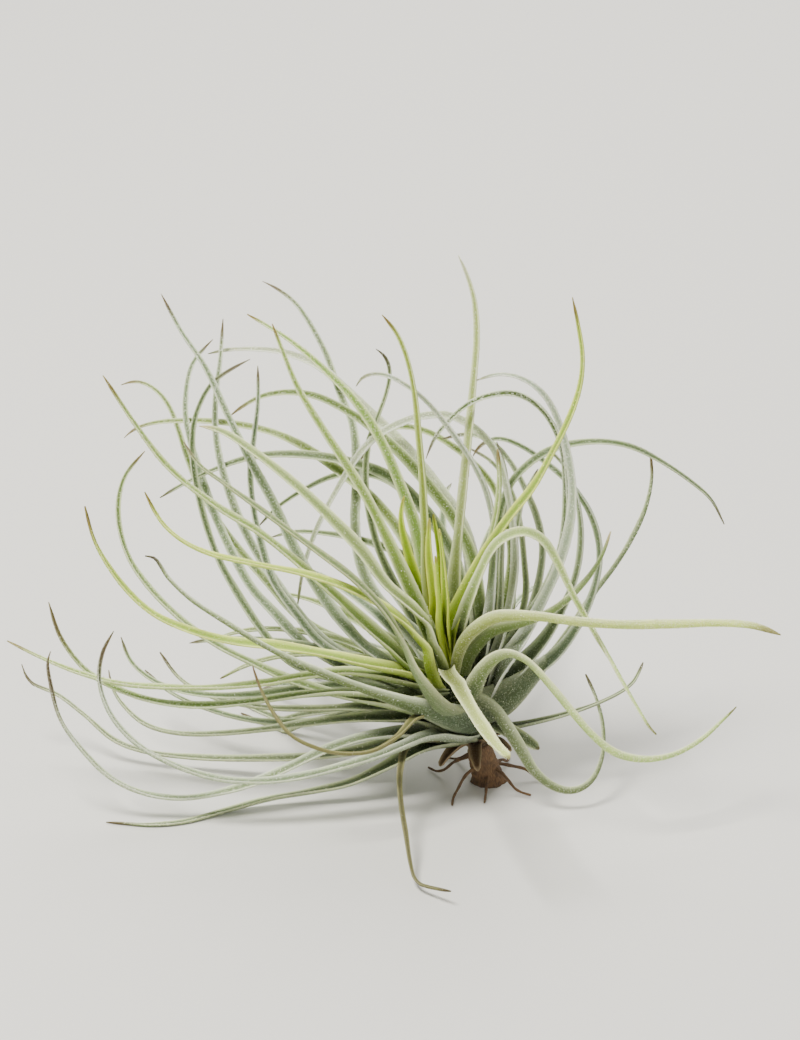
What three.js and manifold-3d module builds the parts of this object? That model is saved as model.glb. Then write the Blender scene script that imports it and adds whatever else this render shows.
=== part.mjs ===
import * as THREE from 'three';
import { mergeVertices } from 'three/addons/utils/BufferGeometryUtils.js';
import Module from 'manifold-3d';

// An air plant picked off its bark: a short stem with wiry roots, a ring of dry leaf bases, and about
// ninety channelled leaves in four tiers round the stem, from the young heart to the old outer leaves.
// Units are millimetres, +Z is up, and the origin is the flat foot of the stem on the surface.

// Leaf paths are read in the plane that faces a viewer in front of the plant: millimetres across and up
// from the heart, and millimetres towards the viewer.
const VIEW_RISE = THREE.MathUtils.degToRad(25);
const VIEW_DISTANCE = 600;
const SIGHT_CENTRE = { across: -7.5, up: 22.5 };
const HEART_HEIGHT = 24;
const FOOT = { across: 7.5, back: 0.5 };

// The stem runs from its woody lower end to the heart, in parts that carry the roots and each ring of leaves.
const STEM_BASE_SEEN = [5, -13, -5.5];
const HEART_SEEN = [0.5, -0.5, 3.2];
const STEM_RADIUS = 1.7;
const FOOT_RADIUS = 3;
const SEAT_GAP = 0.35;
const SLIVER = 0.03;
const STEM_SIDES = 10;
// The bulb of packed leaf bases: its radius at shares of the stem's length.
const BULB = [[-0.16, 1.9], [-0.02, 2.9], [0.2, 4.2], [0.42, 4.8], [0.62, 4.3], [0.82, 3.1], [0.97, 2]];
const STUB_TOP = -0.16;
const ROOTED = [0.1, 0.5];

// Leaf section
const LEAF_THICKNESS = 0.72;
const CHANNEL_RISE = 0.3;
const TIP_WIDTH = 0.75;
const WIDTH_FALL = 0.8;
const SHEATH_WIDTH = 3.1;
const SHEATH_LENGTH = 11;

// Leaf paths are sampled finely, bent clear of each other past the crowded sheaths, and kept above the
// surface. The crown leans towards the viewer as it rises.
const SAMPLE_STEP = 1.8;
const MOST_SAMPLES_A_RING = 6;
const MOST_TURN_A_RING = 0.3;
const SPAN_SAMPLES = 12;
const CROWDED_LENGTH = 9;
const CROWD_EASE = 7;
const BEND_REACH = 12;
const BEND_PASSES = 80;
const BEND_GAP = 0.5;
const LIE_HEIGHT = 0.34;
const CROWN_LEAN = 0.4;
const CROWN_START = 8;

// A leaf is its depth towards the viewer at its start, middle and tip, then its path across and up.
function leaf(toward, path, width) {
  return { toward, path, width };
}

const HEART_LEAVES = [
  leaf([4, 7, 9], [-3, 7, -4.5, 11.5, -6, 16.5, -7.1, 21, -7.3, 24, -6.8, 26.5], 1.7),
  leaf([5, 8, 10], [-1.3, 7, -2.2, 13, -2.7, 18, -2.6, 22.8], 1.9),
  leaf([3, 4, 4], [-0.4, 8, -0.6, 14, -1.2, 19, -2, 23.5], 1.5),
  leaf([5, 9, 12], [0.3, 6, 0, 11, -0.4, 16, -1, 21], 1.5),
  leaf([6, 10, 13], [-0.9, 6, -1.4, 11, -1.7, 16.5], 1.6),
  leaf([5, 5, 0],
    [-2, 8, -3, 15, -3.3, 22, -3.7, 29, -4.3, 36, -5, 43, -6.2, 49, -8, 53.5, -10.5, 56.7], 2.2),
  leaf([2, -2, -12],
    [1.5, 9, 2, 17, 2.8, 25, 3.5, 32, 4.2, 39, 4.8, 46, 5.3, 53, 4.9, 59, 3.6, 63.5, 2.2, 66.6], 2.6),
  leaf([5, 6, 4], [2, 7.5, 4.3, 12.5, 7.3, 18, 11, 23.4, 14.8, 28.2, 18, 34, 20.8, 39.7, 22.5, 45, 22.9, 50,
    22.2, 55, 21.2, 59.6], 2.4),
  leaf([2, 1, 2], [3, 7, 5, 13, 7.3, 18.8, 8.6, 24, 9, 29, 8.7, 34.3], 1.5),
  leaf([6, 2, -4], [-4.5, 8, -7, 13.5, -10, 20, -13, 26, -17, 32.5, -20.5, 37.8, -24.5, 44.5, -27, 50.5,
    -28.8, 55.2], 2.6),
];

const INNER_LEAVES = [
  leaf([9, 1, -12], [-2.5, 5, -6, 8.5, -10, 12, -14, 17.5, -20, 23.8, -26, 29.3, -32, 34, -37, 37.2,
    -41, 38.2], 2.4),
  leaf([-3, -6, -15], [-1.8, 6, -3.2, 13, -4.8, 21, -7.5, 28.5, -11, 36.3, -15, 42.3, -20, 47.5, -25, 51.8,
    -29, 54.5, -33, 56.8], 2.5),
  leaf([10, 8, 4], [-3, 1, -6.5, 5.3, -11, 8.6, -17, 11.5, -24, 13.7, -32, 15.3, -39, 16.9, -44, 19.3,
    -47.5, 22.6, -50, 27.2], 2.4),
  leaf([3, 3, 0], [-8, 0.5, -14, 6, -20, 11.5, -30, 19.8, -38, 24.8, -46, 31.2, -52, 39, -57, 46.6], 2.6),
  leaf([7, 7, 6], [-6, -2.8, -12, -1.6, -20, 0.2, -28, 1.5, -36, 2.4, -43, 4.3, -49, 7.2, -54, 12,
    -58, 18.3, -60, 24.8], 2.6),
  leaf([4, 3, 0], [-8, -3.8, -16, -2.7, -23, -3.4, -30, -4.6, -38, -5.3, -46, -5.3, -54, -4.7, -61, -2.9,
    -67, -0.5, -73, 2.4], 2.5),
  leaf([3, 1, 2], [-8, -6.7, -16, -6.1, -24, -6.6, -32, -7.7, -40, -8.4, -47, -7.9, -53.5, -6.1,
    -59.5, -2.8, -64, 2.8, -66, 8.8], 2.4),
  leaf([8, 12, 18],
    [2.2, 2.3, 5, 5, 9, 6.3, 15, 6.4, 22, 5.5, 30, 5, 38, 5.1, 45, 5.3, 51, 4.9, 56, 3.4], 2.4),
  leaf([5, 1, -6], [4, 1.5, 7.5, 3.8, 11.5, 5, 15, 6, 18.5, 7.8, 21.5, 10.3, 24.3, 13.5, 26.3, 17,
    27.6, 20.6], 2.2),
  leaf([9, 26, 42], [1.2, -3.2, 3.2, -7, 5.6, -11, 8.2, -14.7, 10.8, -17.2], 3),
  leaf([5, 8, 12], [3.2, 7, 5.5, 13, 8.3, 18.3, 12.5, 20.6, 16.3, 19.2, 19, 15, 21.5, 9.8, 24.5, 4.5,
    27.7, -1.3, 31, -7.2, 33.8, -11.8, 35.2, -13.3], 2),
];

const OUTER_LEAVES = [
  leaf([-1, -8, -22], [-10, -1, -14, 2, -18, 6.5, -21.5, 11.5, -25, 17.5, -28.5, 25, -32, 31.5, -36, 39.5,
    -40, 48, -44, 54, -47.3, 60.2], 2.6),
  leaf([-3, -15, -34], [-12, -2.5, -17, 0, -21.5, 3.5, -26, 9, -30.5, 15.5, -33.8, 21.5, -36.3, 28, -38, 35,
    -38.3, 42, -37.5, 49, -37, 56], 2.4),
  leaf([-2, -8, -14], [-11, -3, -16, -1, -21, 2.2, -25, 7, -28.5, 12, -30.3, 17, -31.8, 23.5, -32.5, 30,
    -31.9, 36, -31.2, 42, -31.2, 48.2], 2.2),
  leaf([-2, -14, -26], [-12, -5, -20, -3.5, -26, -1, -30.5, 4, -34.5, 10, -38, 16.5, -40.5, 24, -42, 32,
    -41.8, 39, -39.3, 44.7, -36, 47.4, -32.5, 49.3], 2.3),
  leaf([-3, -18, -34], [-12, -4, -18, -1.5, -24, 2.3, -28.5, 7, -32.5, 11.5, -36, 18, -38.8, 24.5, -41, 31,
    -43, 38, -43.2, 43.5, -42, 48.7, -38.7, 52.6], 2.5),
  leaf([-4, -24, -42], [-10, -1, -17, 2, -24, 6, -30, 12.5, -35.5, 19, -40, 26, -42.8, 32.5, -44.6, 38,
    -46.2, 41.8, -48.5, 44.4, -51.3, 45.6, -54, 45], 2.3),
  leaf([0, -6, -24], [-10, -8, -18, -6.5, -26, -4, -32, -1.3, -38, 1.7, -44, 6, -49.5, 11.5, -53, 17,
    -54.5, 23.5, -53.5, 29.5, -50, 34], 2.4),
  leaf([-4, -18, -34], [-2, 8, -4, 14, -7.5, 20.5, -12, 26, -18, 31, -24, 35, -30, 37.5, -38, 38.9, -46, 39,
    -51, 38, -53.5, 36.2], 2.2),
  leaf([-6, -20, -34], [-6, 4, -11, 9, -14, 15, -15, 22, -14.7, 30, -15.3, 38, -17.5, 43.5, -20, 50.5,
    -24, 57.5, -27.3, 60.6, -30.4, 62.3], 2.2),
  leaf([-6, -20, -34], [5, 8, 4.5, 16, 2.5, 22.5, -2, 29, -7, 35, -12, 40, -17.5, 45.3, -22, 48.7, -28, 50.7,
    -35, 51, -39.5, 50.2], 2.8),
  leaf([-5, -12, -18], [5.5, 10, 4.5, 16.5, 1.5, 22.7, -2.5, 28, -7, 33.2, -11.5, 37.3, -16, 40.5, -21, 43,
    -25.5, 43.8, -30, 43.3, -33.5, 41.6, -36, 39.7], 2.6),
  leaf([-6, -16, -22], [3, 9, 2, 15, -1, 21, -5, 26, -9, 29.5, -14, 31.7, -20, 33, -27, 33.5, -33, 32.8,
    -39, 30.7, -44, 28.3, -47.5, 26.2], 2.6),
  leaf([-2, -6, -16], [8, -1, 10.5, 7, 11.7, 15, 11.2, 23, 9.8, 30, 8, 34.7, 4.5, 38.2, 0.5, 40, -4, 39.8,
    -8.5, 38.2, -12, 36, -15, 32.5, -17.5, 28.5, -20, 24, -22, 19.5, -23.7, 14, -24.6, 8], 2.3),
  leaf([-5, -12, -20], [7.5, 2, 10, 9, 11, 17, 9.8, 24, 7.5, 29, 4, 32.7, 0, 35.7, -4, 37.6, -8, 38,
    -11, 36.5, -13.5, 33.7, -15, 30.5], 2.2),
  leaf([-2.4, 1, 0], [6.2, 0, 7.4, 7, 8, 13.5, 8.2, 20, 7.3, 26, 5.5, 30.5, 3.2, 34.3, 0.3, 38.3, -3, 42.2,
    -6.5, 45, -10, 46.7, -13.2, 46.6, -14.8, 44.8], 1.9),
  leaf([-6, -12, -12], [-4, 4, -8, 11, -11.5, 19, -13.2, 28, -12.8, 35, -11.5, 39, -10, 43, -9.2, 46.7,
    -9.8, 49.4, -11.5, 51], 1.6),
  leaf([11, 6, -8], [-3.5, -5, -5.2, -2, -6.7, 1.8, -10, 7.3, -15, 12.5, -20, 16.4, -26, 20.8, -32, 25.2,
    -37, 28.8, -41, 31.8, -43.5, 35.5], 2.8),
  leaf([-6, -14, -20], [0, 9, -4, 14.5, -9, 17.6, -15, 19.4, -20, 20.3, -25, 20.6, -29, 19.6], 2),
  leaf([-9, -20, -26], [2, 12, 0, 19, -4.5, 25, -9.5, 29, -14.5, 30.4, -19, 29.7, -23.5, 27.6, -28, 24.6,
    -31, 21.5], 1.8),
  leaf([0, 0, 1], [9, -2.5, 13, 3, 16.5, 9.5, 19, 15, 20.7, 21, 21.3, 27, 20.6, 33, 19, 38.8, 16.6, 43.3,
    13, 46, 9, 46.8, 5.2, 45.8], 2.4),
  leaf([-3, -3, -3], [9.5, -0.5, 13.5, 5.5, 16.8, 11, 19, 17, 20, 23, 20, 29, 19.4, 34.5, 17.6, 39,
    14.8, 42.1, 11.5, 43.6, 7.5, 43.3, 3.8, 41.8, 0.6, 39, -1.8, 36, -3.2, 32.7], 1.9),
  leaf([-5, -8, -18], [8, 5, 8.5, 14, 9, 22, 10.8, 28.2, 14.5, 32.3, 19, 34.7, 25, 35.6, 30.5, 34.9,
    35.5, 32.6, 40.5, 29.3, 44.5, 25.8, 46.6, 21.8], 2.2),
  leaf([-7, -10, -12], [13, -4, 18.5, 0, 22.5, 5.5, 25, 11.5, 25.8, 17.5, 24.5, 23, 21.5, 27.8, 17.5, 31.6,
    13, 34.7, 9, 36.1, 6, 35, 4.5, 32.8], 2.3),
  leaf([-4, -6, -10], [12, -2.5, 16.5, 2.5, 20, 8.5, 22, 14, 22.7, 20, 22, 26, 20.3, 31, 17, 34.5], 2.2),
  leaf([-7, -10, -14], [10.5, -0.5, 13.5, 5, 15.5, 11.5, 16.3, 17.5, 15.5, 22.5, 13.5, 27.5, 11, 32, 8, 35.3,
    4, 36.8, -0.5, 36], 2.3),
  leaf([-4, -6, -8], [8.6, 3, 9.3, 9, 9.4, 15, 9.7, 21, 10.3, 26, 10, 31, 8.6, 35.5], 2),
  leaf([-8, -10, -12], [10.2, 2.5, 11.2, 8.5, 11.4, 14.5, 12, 21, 13.2, 26.5, 15.5, 31], 2.1),
  leaf([-10, -13, -16], [12, 4, 13.5, 10, 13.2, 16, 12.5, 22, 11, 27.5, 8, 32, 4, 34.5], 2),
  leaf([9, 13, 5], [4, -6.2, 4.5, -2.5, 7.5, -0.1, 11, 0.3, 14.3, -1.3, 17.5, -5, 21, -9.3, 24.5, -13.3,
    28.3, -16.3, 33, -17.4, 38, -16.6, 42.5, -14.2, 46, -11, 48.5, -8.6], 2.5),
  leaf([3, 0, -6], [5.8, -7.4, 8, -8.8, 10.3, -12.2, 12.6, -15.8, 14.8, -19.3, 18, -21.9, 21.5, -22.6,
    24.5, -20.8, 26.1, -16.8, 26.2, -12, 25.2, -7.6, 23.4, -3.2], 2.2),
];

const OLD_LEAVES = [
  leaf([8, 12, 8], [-4, -9, -10, -7, -17, -4.4, -24, -1.5, -31, 2.2, -37, 5.9, -42.5, 9.6, -46.3, 13.3,
    -48, 16, -50, 16.6], 2.4),
  leaf([-1, -4, -8], [-6, -10.3, -13, -10.4, -21, -11.1, -29, -12.2, -37, -13, -44, -13, -49.5, -11.7,
    -53, -9, -55.2, -5.8, -56, -2.5], 2.2),
  leaf([-4, -12, -18], [-6, -13.8, -14, -15.8, -22, -16.9, -31, -17.2, -40, -17.1, -49, -16.2, -55, -14.2,
    -60, -10, -64.5, -6.6, -69, -4.5, -70.5, -1.5], 2.2),
  leaf([3, 7, 6], [-4, -13.8, -10, -16.3, -17, -18.5, -24, -20.2, -31, -21, -38, -20.5, -45, -18.3, -51, -15,
    -55.3, -10.5, -57.5, -5, -57.2, 0, -55.2, 4], 2.6),
  leaf([1, 3, 5], [-8, -12.9, -14, -13.8, -20, -15.8, -26, -18.7, -32, -21.3, -38, -23, -44, -23.8, -50, -23,
    -55.5, -20.5, -60, -16.3, -64, -10.7, -65.8, -4.5, -66.2, -1, -65.7, 0.6], 2.2),
  leaf([9, 16, 18], [-5.5, -10.8, -8, -13.5, -12, -15.8, -16.5, -16.3, -21, -15.5, -25.5, -13.3, -28.5, -9.6,
    -30.5, -5.8, -32, -1.8], 1.3),
  leaf([-3, -1, 3], [-5, -15.8, -10, -18.6, -16, -21.3, -22, -22.6, -29, -23.8, -36, -25.7, -43, -27.6,
    -49, -28.2, -54, -27.9, -56.5, -27.8], 2.4),
  leaf([3, 16, 28], [-6.8, -15.8, -7.6, -20, -7.3, -25, -6.5, -30, -5.8, -34.5, -4.8, -37.6, -2.5, -38.6,
    1, -39.3], 1.1),
  leaf([-2, -1, 0], [7.5, -10.6, 10.5, -12.6, 13.3, -14, 15.7, -15.7], 2.4),
  leaf([-4, -4, -6], [9, -12.2, 14, -11.3, 19, -10.1, 24, -8.5, 28.5, -6.5, 31.3, -4.5, 33, -1.2], 1),
  leaf([-8, -14, -20], [11, -5.5, 16.5, -1.5, 20.5, 4, 24.5, 10, 28, 14.6, 31, 19.3, 33.3, 24.3, 34.4, 29.5,
    34.2, 33.8], 2.2),
  leaf([-6, -14, -24], [-10, -9.5, -18, -10.8, -26, -11.3, -33, -10.7, -40, -8.8, -46, -6, -50, -2.5], 2.2),
  leaf([-7, -10, -16],
    [-8, -5.3, -16, -4.9, -24, -5.6, -32, -6.6, -40, -6.6, -47, -5, -52, -1.5, -54, 3], 2.2),
  leaf([-3, -9, -18], [-7, -8.4, -14, -8.6, -22, -8.9, -30, -8.7, -38, -7.2, -44, -4, -47.5, 0.5], 2.2),
];

// The tiers of leaves, the youngest first: each has a stretch of the stem, as shares of its length, and the
// angle in degrees at which its sheaths leave the stem.
const TIERS = [
  { name: 'heart_leaves', finish: 'heart', table: HEART_LEAVES, from: 0.82, to: 0.97, leave: 10 },
  { name: 'inner_leaves', finish: 'inner', table: INNER_LEAVES, from: 0.62, to: 0.82, leave: 60 },
  { name: 'outer_leaves', finish: 'outer', table: OUTER_LEAVES, from: 0.2, to: 0.62, leave: 85 },
  { name: 'old_leaves', finish: 'old', table: OLD_LEAVES, from: -0.02, to: 0.2, leave: 95 },
];

// Leaves that the front ones hide, turned round the back by the golden angle: lean at the start and at the tip
// and the arc that they fill, in degrees, and length.
const SEED = 41;
const GOLDEN_ANGLE = 137.5;
const HIDDEN_LEAVES = [
  { tier: 'outer_leaves', count: 9, from: 0.26, to: 0.4, lean: [35, 95], length: [44, 60], arc: [-75, 25] },
  { tier: 'old_leaves', count: 9, from: 0.04, to: 0.16, lean: [68, 112], length: [44, 60], arc: [-65, 20] },
];
const HIDDEN_WIDTH = 2.3;
const LEAN_SPREAD = [12, 25];

// Dry leaf bases round the foot of the leaves, and wiry roots on the stub.
const DRY_BASES = { count: 8, from: -0.16, to: -0.02, length: [6, 9], width: 2.4, lean: [55, 120] };
const ROOTS = { count: 7, sides: 5, radius: 0.42, reach: [7, 12], height: [2.2, 5.5], steps: 6, droop: 1.6 };
const STUB_RINGS = 6;
const STUB_KNOBS = 0.22;

const wasm = await Module();
wasm.setup();
const radians = THREE.MathUtils.degToRad;

const TOWARD = new THREE.Vector3(0, -Math.cos(VIEW_RISE), Math.sin(VIEW_RISE));
const UPWARD = new THREE.Vector3(0, Math.sin(VIEW_RISE), Math.cos(VIEW_RISE));
const LOOKED_AT = new THREE.Vector3(SIGHT_CENTRE.across - FOOT.across, -FOOT.back, HEART_HEIGHT)
  .addScaledVector(UPWARD, SIGHT_CENTRE.up);

// The place in the plant's own frame of a point as the viewer sees it.
function seen(across, up, toward) {
  const share = (VIEW_DISTANCE - toward) / VIEW_DISTANCE;
  const place = LOOKED_AT.clone().addScaledVector(UPWARD, (up - SIGHT_CENTRE.up) * share);
  place.x += (across - SIGHT_CENTRE.across) * share;
  return place.addScaledVector(TOWARD, toward);
}

// How the viewer sees a place: across, up and towards.
function sight(place) {
  const from = place.clone().sub(LOOKED_AT);
  const toward = from.dot(TOWARD);
  const share = (VIEW_DISTANCE - toward) / VIEW_DISTANCE;
  return [SIGHT_CENTRE.across + from.x / share, SIGHT_CENTRE.up + from.dot(UPWARD) / share, toward];
}

const STEM_BASE = seen(...STEM_BASE_SEEN);
const HEART = seen(...HEART_SEEN);
const AXIS = HEART.clone().sub(STEM_BASE).normalize();

function stemPlace(share) {
  return STEM_BASE.clone().lerp(HEART, share);
}

// A seeded source of even random numbers from 0 to 1.
function seeded(seed) {
  let state = seed >>> 0;
  return () => {
    state = (Math.imul(state, 1664525) + 1013904223) >>> 0;
    return state / 4294967296;
  };
}

function mix(from, to, share) {
  return from + (to - from) * share;
}

// A smooth curve through points, given as lists of equal length, at even steps along its length.
function evenCurve(points, step) {
  const fine = [];
  for (let span = 0; span < points.length - 1; span += 1) {
    const [a, b, c, d] = [points[Math.max(span - 1, 0)], points[span], points[span + 1],
      points[Math.min(span + 2, points.length - 1)]];
    for (let k = 0; k < SPAN_SAMPLES; k += 1) {
      const t = k / SPAN_SAMPLES;
      fine.push(b.map((_, n) => 0.5 * (2 * b[n] + (c[n] - a[n]) * t
        + (2 * a[n] - 5 * b[n] + 4 * c[n] - d[n]) * t * t
        + (3 * b[n] - a[n] - 3 * c[n] + d[n]) * t * t * t)));
    }
  }
  fine.push(points[points.length - 1]);
  const along = [0];
  for (let k = 1; k < fine.length; k += 1) {
    along.push(along[k - 1] + Math.hypot(...fine[k].map((value, n) => value - fine[k - 1][n])));
  }
  const length = along[along.length - 1];
  const count = Math.max(2, Math.round(length / step));
  const even = [];
  for (let k = 0, at = 0; k <= count; k += 1) {
    const want = (length * k) / count;
    while (at < fine.length - 2 && along[at + 1] < want) at += 1;
    const share = Math.min(1, (want - along[at]) / (along[at + 1] - along[at]));
    even.push(fine[at].map((value, n) => mix(value, fine[at + 1][n], share)));
  }
  return even;
}

// The depth at a share of a leaf's length, from its depths at the start, the middle and the tip.
function depthAt([start, middle, tip], share) {
  const rise = 4 * middle - 3 * start - tip;
  const bend = 2 * start + 2 * tip - 4 * middle;
  return start + rise * share + bend * share * share;
}

// The sheath of a leaf, from its root inside the stem to the first point that shows.
function sheathPath(rootShare, lean, first, heading) {
  const root = stemPlace(rootShare);
  const reach = first.distanceTo(root) / 3;
  const outward = first.clone().sub(root);
  outward.addScaledVector(AXIS, -outward.dot(AXIS)).normalize();
  const leave = AXIS.clone().multiplyScalar(Math.cos(lean)).addScaledVector(outward, Math.sin(lean));
  const curve = new THREE.CubicBezierCurve3(root, root.clone().addScaledVector(leave, reach),
    first.clone().addScaledVector(heading, -reach), first);
  return curve.getPoints(4).slice(0, -1).map(sight);
}

// A leaf read from the front: its path as the viewer sees it, at even steps from the root.
function seenPath({ toward, path }, rootShare, lean) {
  const flat = [];
  for (let k = 0; k < path.length; k += 2) flat.push([path[k], path[k + 1]]);
  const even = evenCurve(flat, SAMPLE_STEP);
  const shown = even.map(([across, up], k) => {
    const lean = (CROWN_LEAN * Math.max(up, 0) ** 2) / (Math.max(up, 0) + CROWN_START);
    return [across, up, depthAt(toward, k / (even.length - 1)) + lean];
  });
  const first = seen(...shown[0]);
  const heading = seen(...shown[1]).sub(first).normalize();
  return evenCurve([...sheathPath(rootShare, lean, first, heading), ...shown], SAMPLE_STEP);
}

// A hidden leaf: it leaves the stem at one lean and arches to another.
function hiddenPath(rootShare, turn, startLean, endLean, length) {
  const side = new THREE.Vector3(1, 0, 0).addScaledVector(AXIS, -AXIS.x).normalize();
  const back = AXIS.clone().cross(side);
  const outward = back.multiplyScalar(Math.cos(turn)).addScaledVector(side, Math.sin(turn));
  const place = stemPlace(rootShare);
  const points = [sight(place)];
  const steps = Math.round(length / SAMPLE_STEP);
  for (let k = 0; k < steps; k += 1) {
    const lean = mix(startLean, endLean, k / steps);
    place.addScaledVector(AXIS, Math.cos(lean) * SAMPLE_STEP);
    place.addScaledVector(outward, Math.sin(lean) * SAMPLE_STEP);
    place.z = Math.max(place.z, LIE_HEIGHT);
    points.push(sight(place));
  }
  return points;
}

// The least depth that keeps a seen point above the surface.
function lieDepth([across, up, toward]) {
  const place = seen(across, up, toward);
  if (place.z >= LIE_HEIGHT) return toward;
  return toward + (LIE_HEIGHT - place.z) / Math.sin(VIEW_RISE);
}

function widthAt(width, along, length) {
  const share = along / length;
  const blade = TIP_WIDTH + (width - TIP_WIDTH) * (1 - share) ** WIDTH_FALL;
  const sheath = Math.max(0, 1 - along / SHEATH_LENGTH) ** 2;
  return blade + (SHEATH_WIDTH - width) * sheath;
}

// Where two leaves pass within reach of each other as seen from the front: runs of matched samples.
function contactsOf(one, other) {
  const runs = [];
  let run = null;
  for (let k = 0; k < one.path.length; k += 1) {
    let nearest = -1;
    let least = Infinity;
    for (let m = 0; m < other.path.length; m += 1) {
      const apart = Math.hypot(one.path[k][0] - other.path[m][0], one.path[k][1] - other.path[m][1]);
      if (apart < least) [least, nearest] = [apart, m];
    }
    const reach = (one.widths[k] + other.widths[nearest]) / 2 + BEND_GAP;
    const free = k * SAMPLE_STEP > CROWDED_LENGTH && nearest * SAMPLE_STEP > CROWDED_LENGTH;
    if (!free || least >= reach) {
      run = null;
      continue;
    }
    if (!run) {
      run = { one, other, pairs: [], least: Infinity, order: 0 };
      runs.push(run);
    }
    run.pairs.push([k, nearest, Math.sqrt(reach * reach - least * least)]);
    if (least < run.least) {
      run.least = least;
      run.order = Math.sign(one.path[k][2] - other.path[nearest][2]) || 1;
    }
  }
  return runs;
}

// Bends the leaves towards or away from the viewer until none meets another past the crowded sheaths.
function bendClear(leaves) {
  const contacts = [];
  for (let i = 0; i < leaves.length; i += 1) {
    for (let j = i + 1; j < leaves.length; j += 1) contacts.push(...contactsOf(leaves[i], leaves[j]));
  }
  const reach = Math.round(BEND_REACH / SAMPLE_STEP);
  for (let pass = 0; pass < BEND_PASSES; pass += 1) {
    for (const each of leaves) {
      each.forward = new Float64Array(each.path.length);
      each.backward = new Float64Array(each.path.length);
    }
    for (const { one, other, pairs, order } of contacts) {
      for (const [k, m, need] of pairs) {
        const lack = need - order * (one.path[k][2] - other.path[m][2]);
        if (lack <= 0) continue;
        const push = lack / 4;
        const [front, frontAt, rear, rearAt] = order > 0 ? [one, k, other, m] : [other, m, one, k];
        front.forward[frontAt] = Math.max(front.forward[frontAt], push);
        rear.backward[rearAt] = Math.max(rear.backward[rearAt], push);
      }
    }
    for (const each of leaves) {
      for (let k = 0; k < each.path.length; k += 1) {
        let forward = 0;
        let backward = 0;
        for (let near = -reach; near <= reach; near += 1) {
          const at = k + near;
          if (at < 0 || at >= each.path.length) continue;
          const fade = 0.5 + 0.5 * Math.cos((Math.PI * near) / (reach + 1));
          forward = Math.max(forward, each.forward[at] * fade);
          backward = Math.max(backward, each.backward[at] * fade);
        }
        const free = THREE.MathUtils.clamp((k * SAMPLE_STEP - CROWDED_LENGTH / 2) / CROWD_EASE, 0, 1);
        each.path[k][2] += (forward - backward) * free;
        each.path[k][2] = lieDepth(each.path[k]);
      }
    }
  }
}

// The triangles of a closed tube of rings with the same number of corners.
function tubeTriangles(rings, corners) {
  const triangles = [];
  for (let k = 0; k < rings - 1; k += 1) {
    for (let n = 0; n < corners; n += 1) {
      const [a, b] = [k * corners + n, k * corners + ((n + 1) % corners)];
      triangles.push(a, b, b + corners, a, b + corners, a + corners);
    }
  }
  const last = (rings - 1) * corners;
  for (let n = 1; n < corners - 1; n += 1) triangles.push(0, n + 1, n, last, last + n, last + n + 1);
  return triangles;
}

// The solid swept along places by a section that gives its corners in the frame of each place. Every corner
// stays on or above the surface.
function sweep(places, across, cornersAt) {
  const side = across.clone();
  const vertices = [];
  let corners = 0;
  places.forEach((place, k) => {
    const next = places[Math.min(k + 1, places.length - 1)];
    const heading = next.clone().sub(places[Math.max(k - 1, 0)]).normalize();
    side.addScaledVector(heading, -side.dot(heading)).normalize();
    const face = heading.clone().cross(side);
    const section = cornersAt(k);
    corners = section.length;
    for (const [x, y] of section) {
      const corner = place.clone().addScaledVector(side, x).addScaledVector(face, y);
      vertices.push(corner.x, corner.y, Math.max(corner.z, 0));
    }
  });
  return solidOf(vertices, tubeTriangles(places.length, corners));
}

// A closed solid with its faces pointing out, from corners and triangles.
function solidOf(vertices, triangles) {
  let volume = 0;
  for (let n = 0; n < triangles.length; n += 3) {
    const [a, b, c] = [0, 1, 2].map((k) => new THREE.Vector3().fromArray(vertices, triangles[n + k] * 3));
    volume += a.dot(b.cross(c));
  }
  const outward = volume < 0 ? triangles.toReversed() : triangles;
  return new wasm.Manifold(new wasm.Mesh({
    numProp: 3,
    vertProperties: new Float32Array(vertices),
    triVerts: new Uint32Array(outward),
  }));
}

// The samples that get a ring: closer together where the leaf curls.
function ringsAlong(places) {
  const rings = [0];
  let turned = 0;
  for (let k = 1; k < places.length - 1; k += 1) {
    const before = places[k].clone().sub(places[k - 1]);
    turned += before.angleTo(places[k + 1].clone().sub(places[k]));
    if (turned < MOST_TURN_A_RING && k - rings[rings.length - 1] < MOST_SAMPLES_A_RING) continue;
    rings.push(k);
    turned = 0;
  }
  if (places.length - 1 - rings[rings.length - 1] < 2) rings.pop();
  rings.push(places.length - 1);
  return rings;
}

// A leaf is a long channelled blade: two raised edges, a keel below and the channel between them. Swell makes
// it fatter all round, to cut room for its neighbours.
function leafSolid({ path, widths }, swell = 0) {
  const all = path.map((each) => seen(...each));
  const rings = ringsAlong(all);
  const places = rings.map((k) => all[k]);
  const outward = places[1].clone().sub(places[0]);
  const across = AXIS.clone().cross(outward).normalize();
  return sweep(places, across, (k) => {
    const half = widths[rings[k]] / 2 + swell;
    const edge = LEAF_THICKNESS / 2 + CHANNEL_RISE * half + swell / 2;
    const centre = LEAF_THICKNESS / 2 + swell;
    return [[-half, edge], [0, -centre], [half, edge], [0, centre]];
  });
}

// The radius of the bulb of leaf bases at a share of the stem's length.
function bulbRadius(share) {
  const inside = THREE.MathUtils.clamp(share, BULB[0][0], BULB[BULB.length - 1][0]);
  const next = Math.max(1, BULB.findIndex(([at]) => at >= inside));
  const [[before, less], [after, more]] = [BULB[next - 1], BULB[next]];
  return THREE.MathUtils.mapLinear(inside, before, after, less, more);
}

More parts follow.
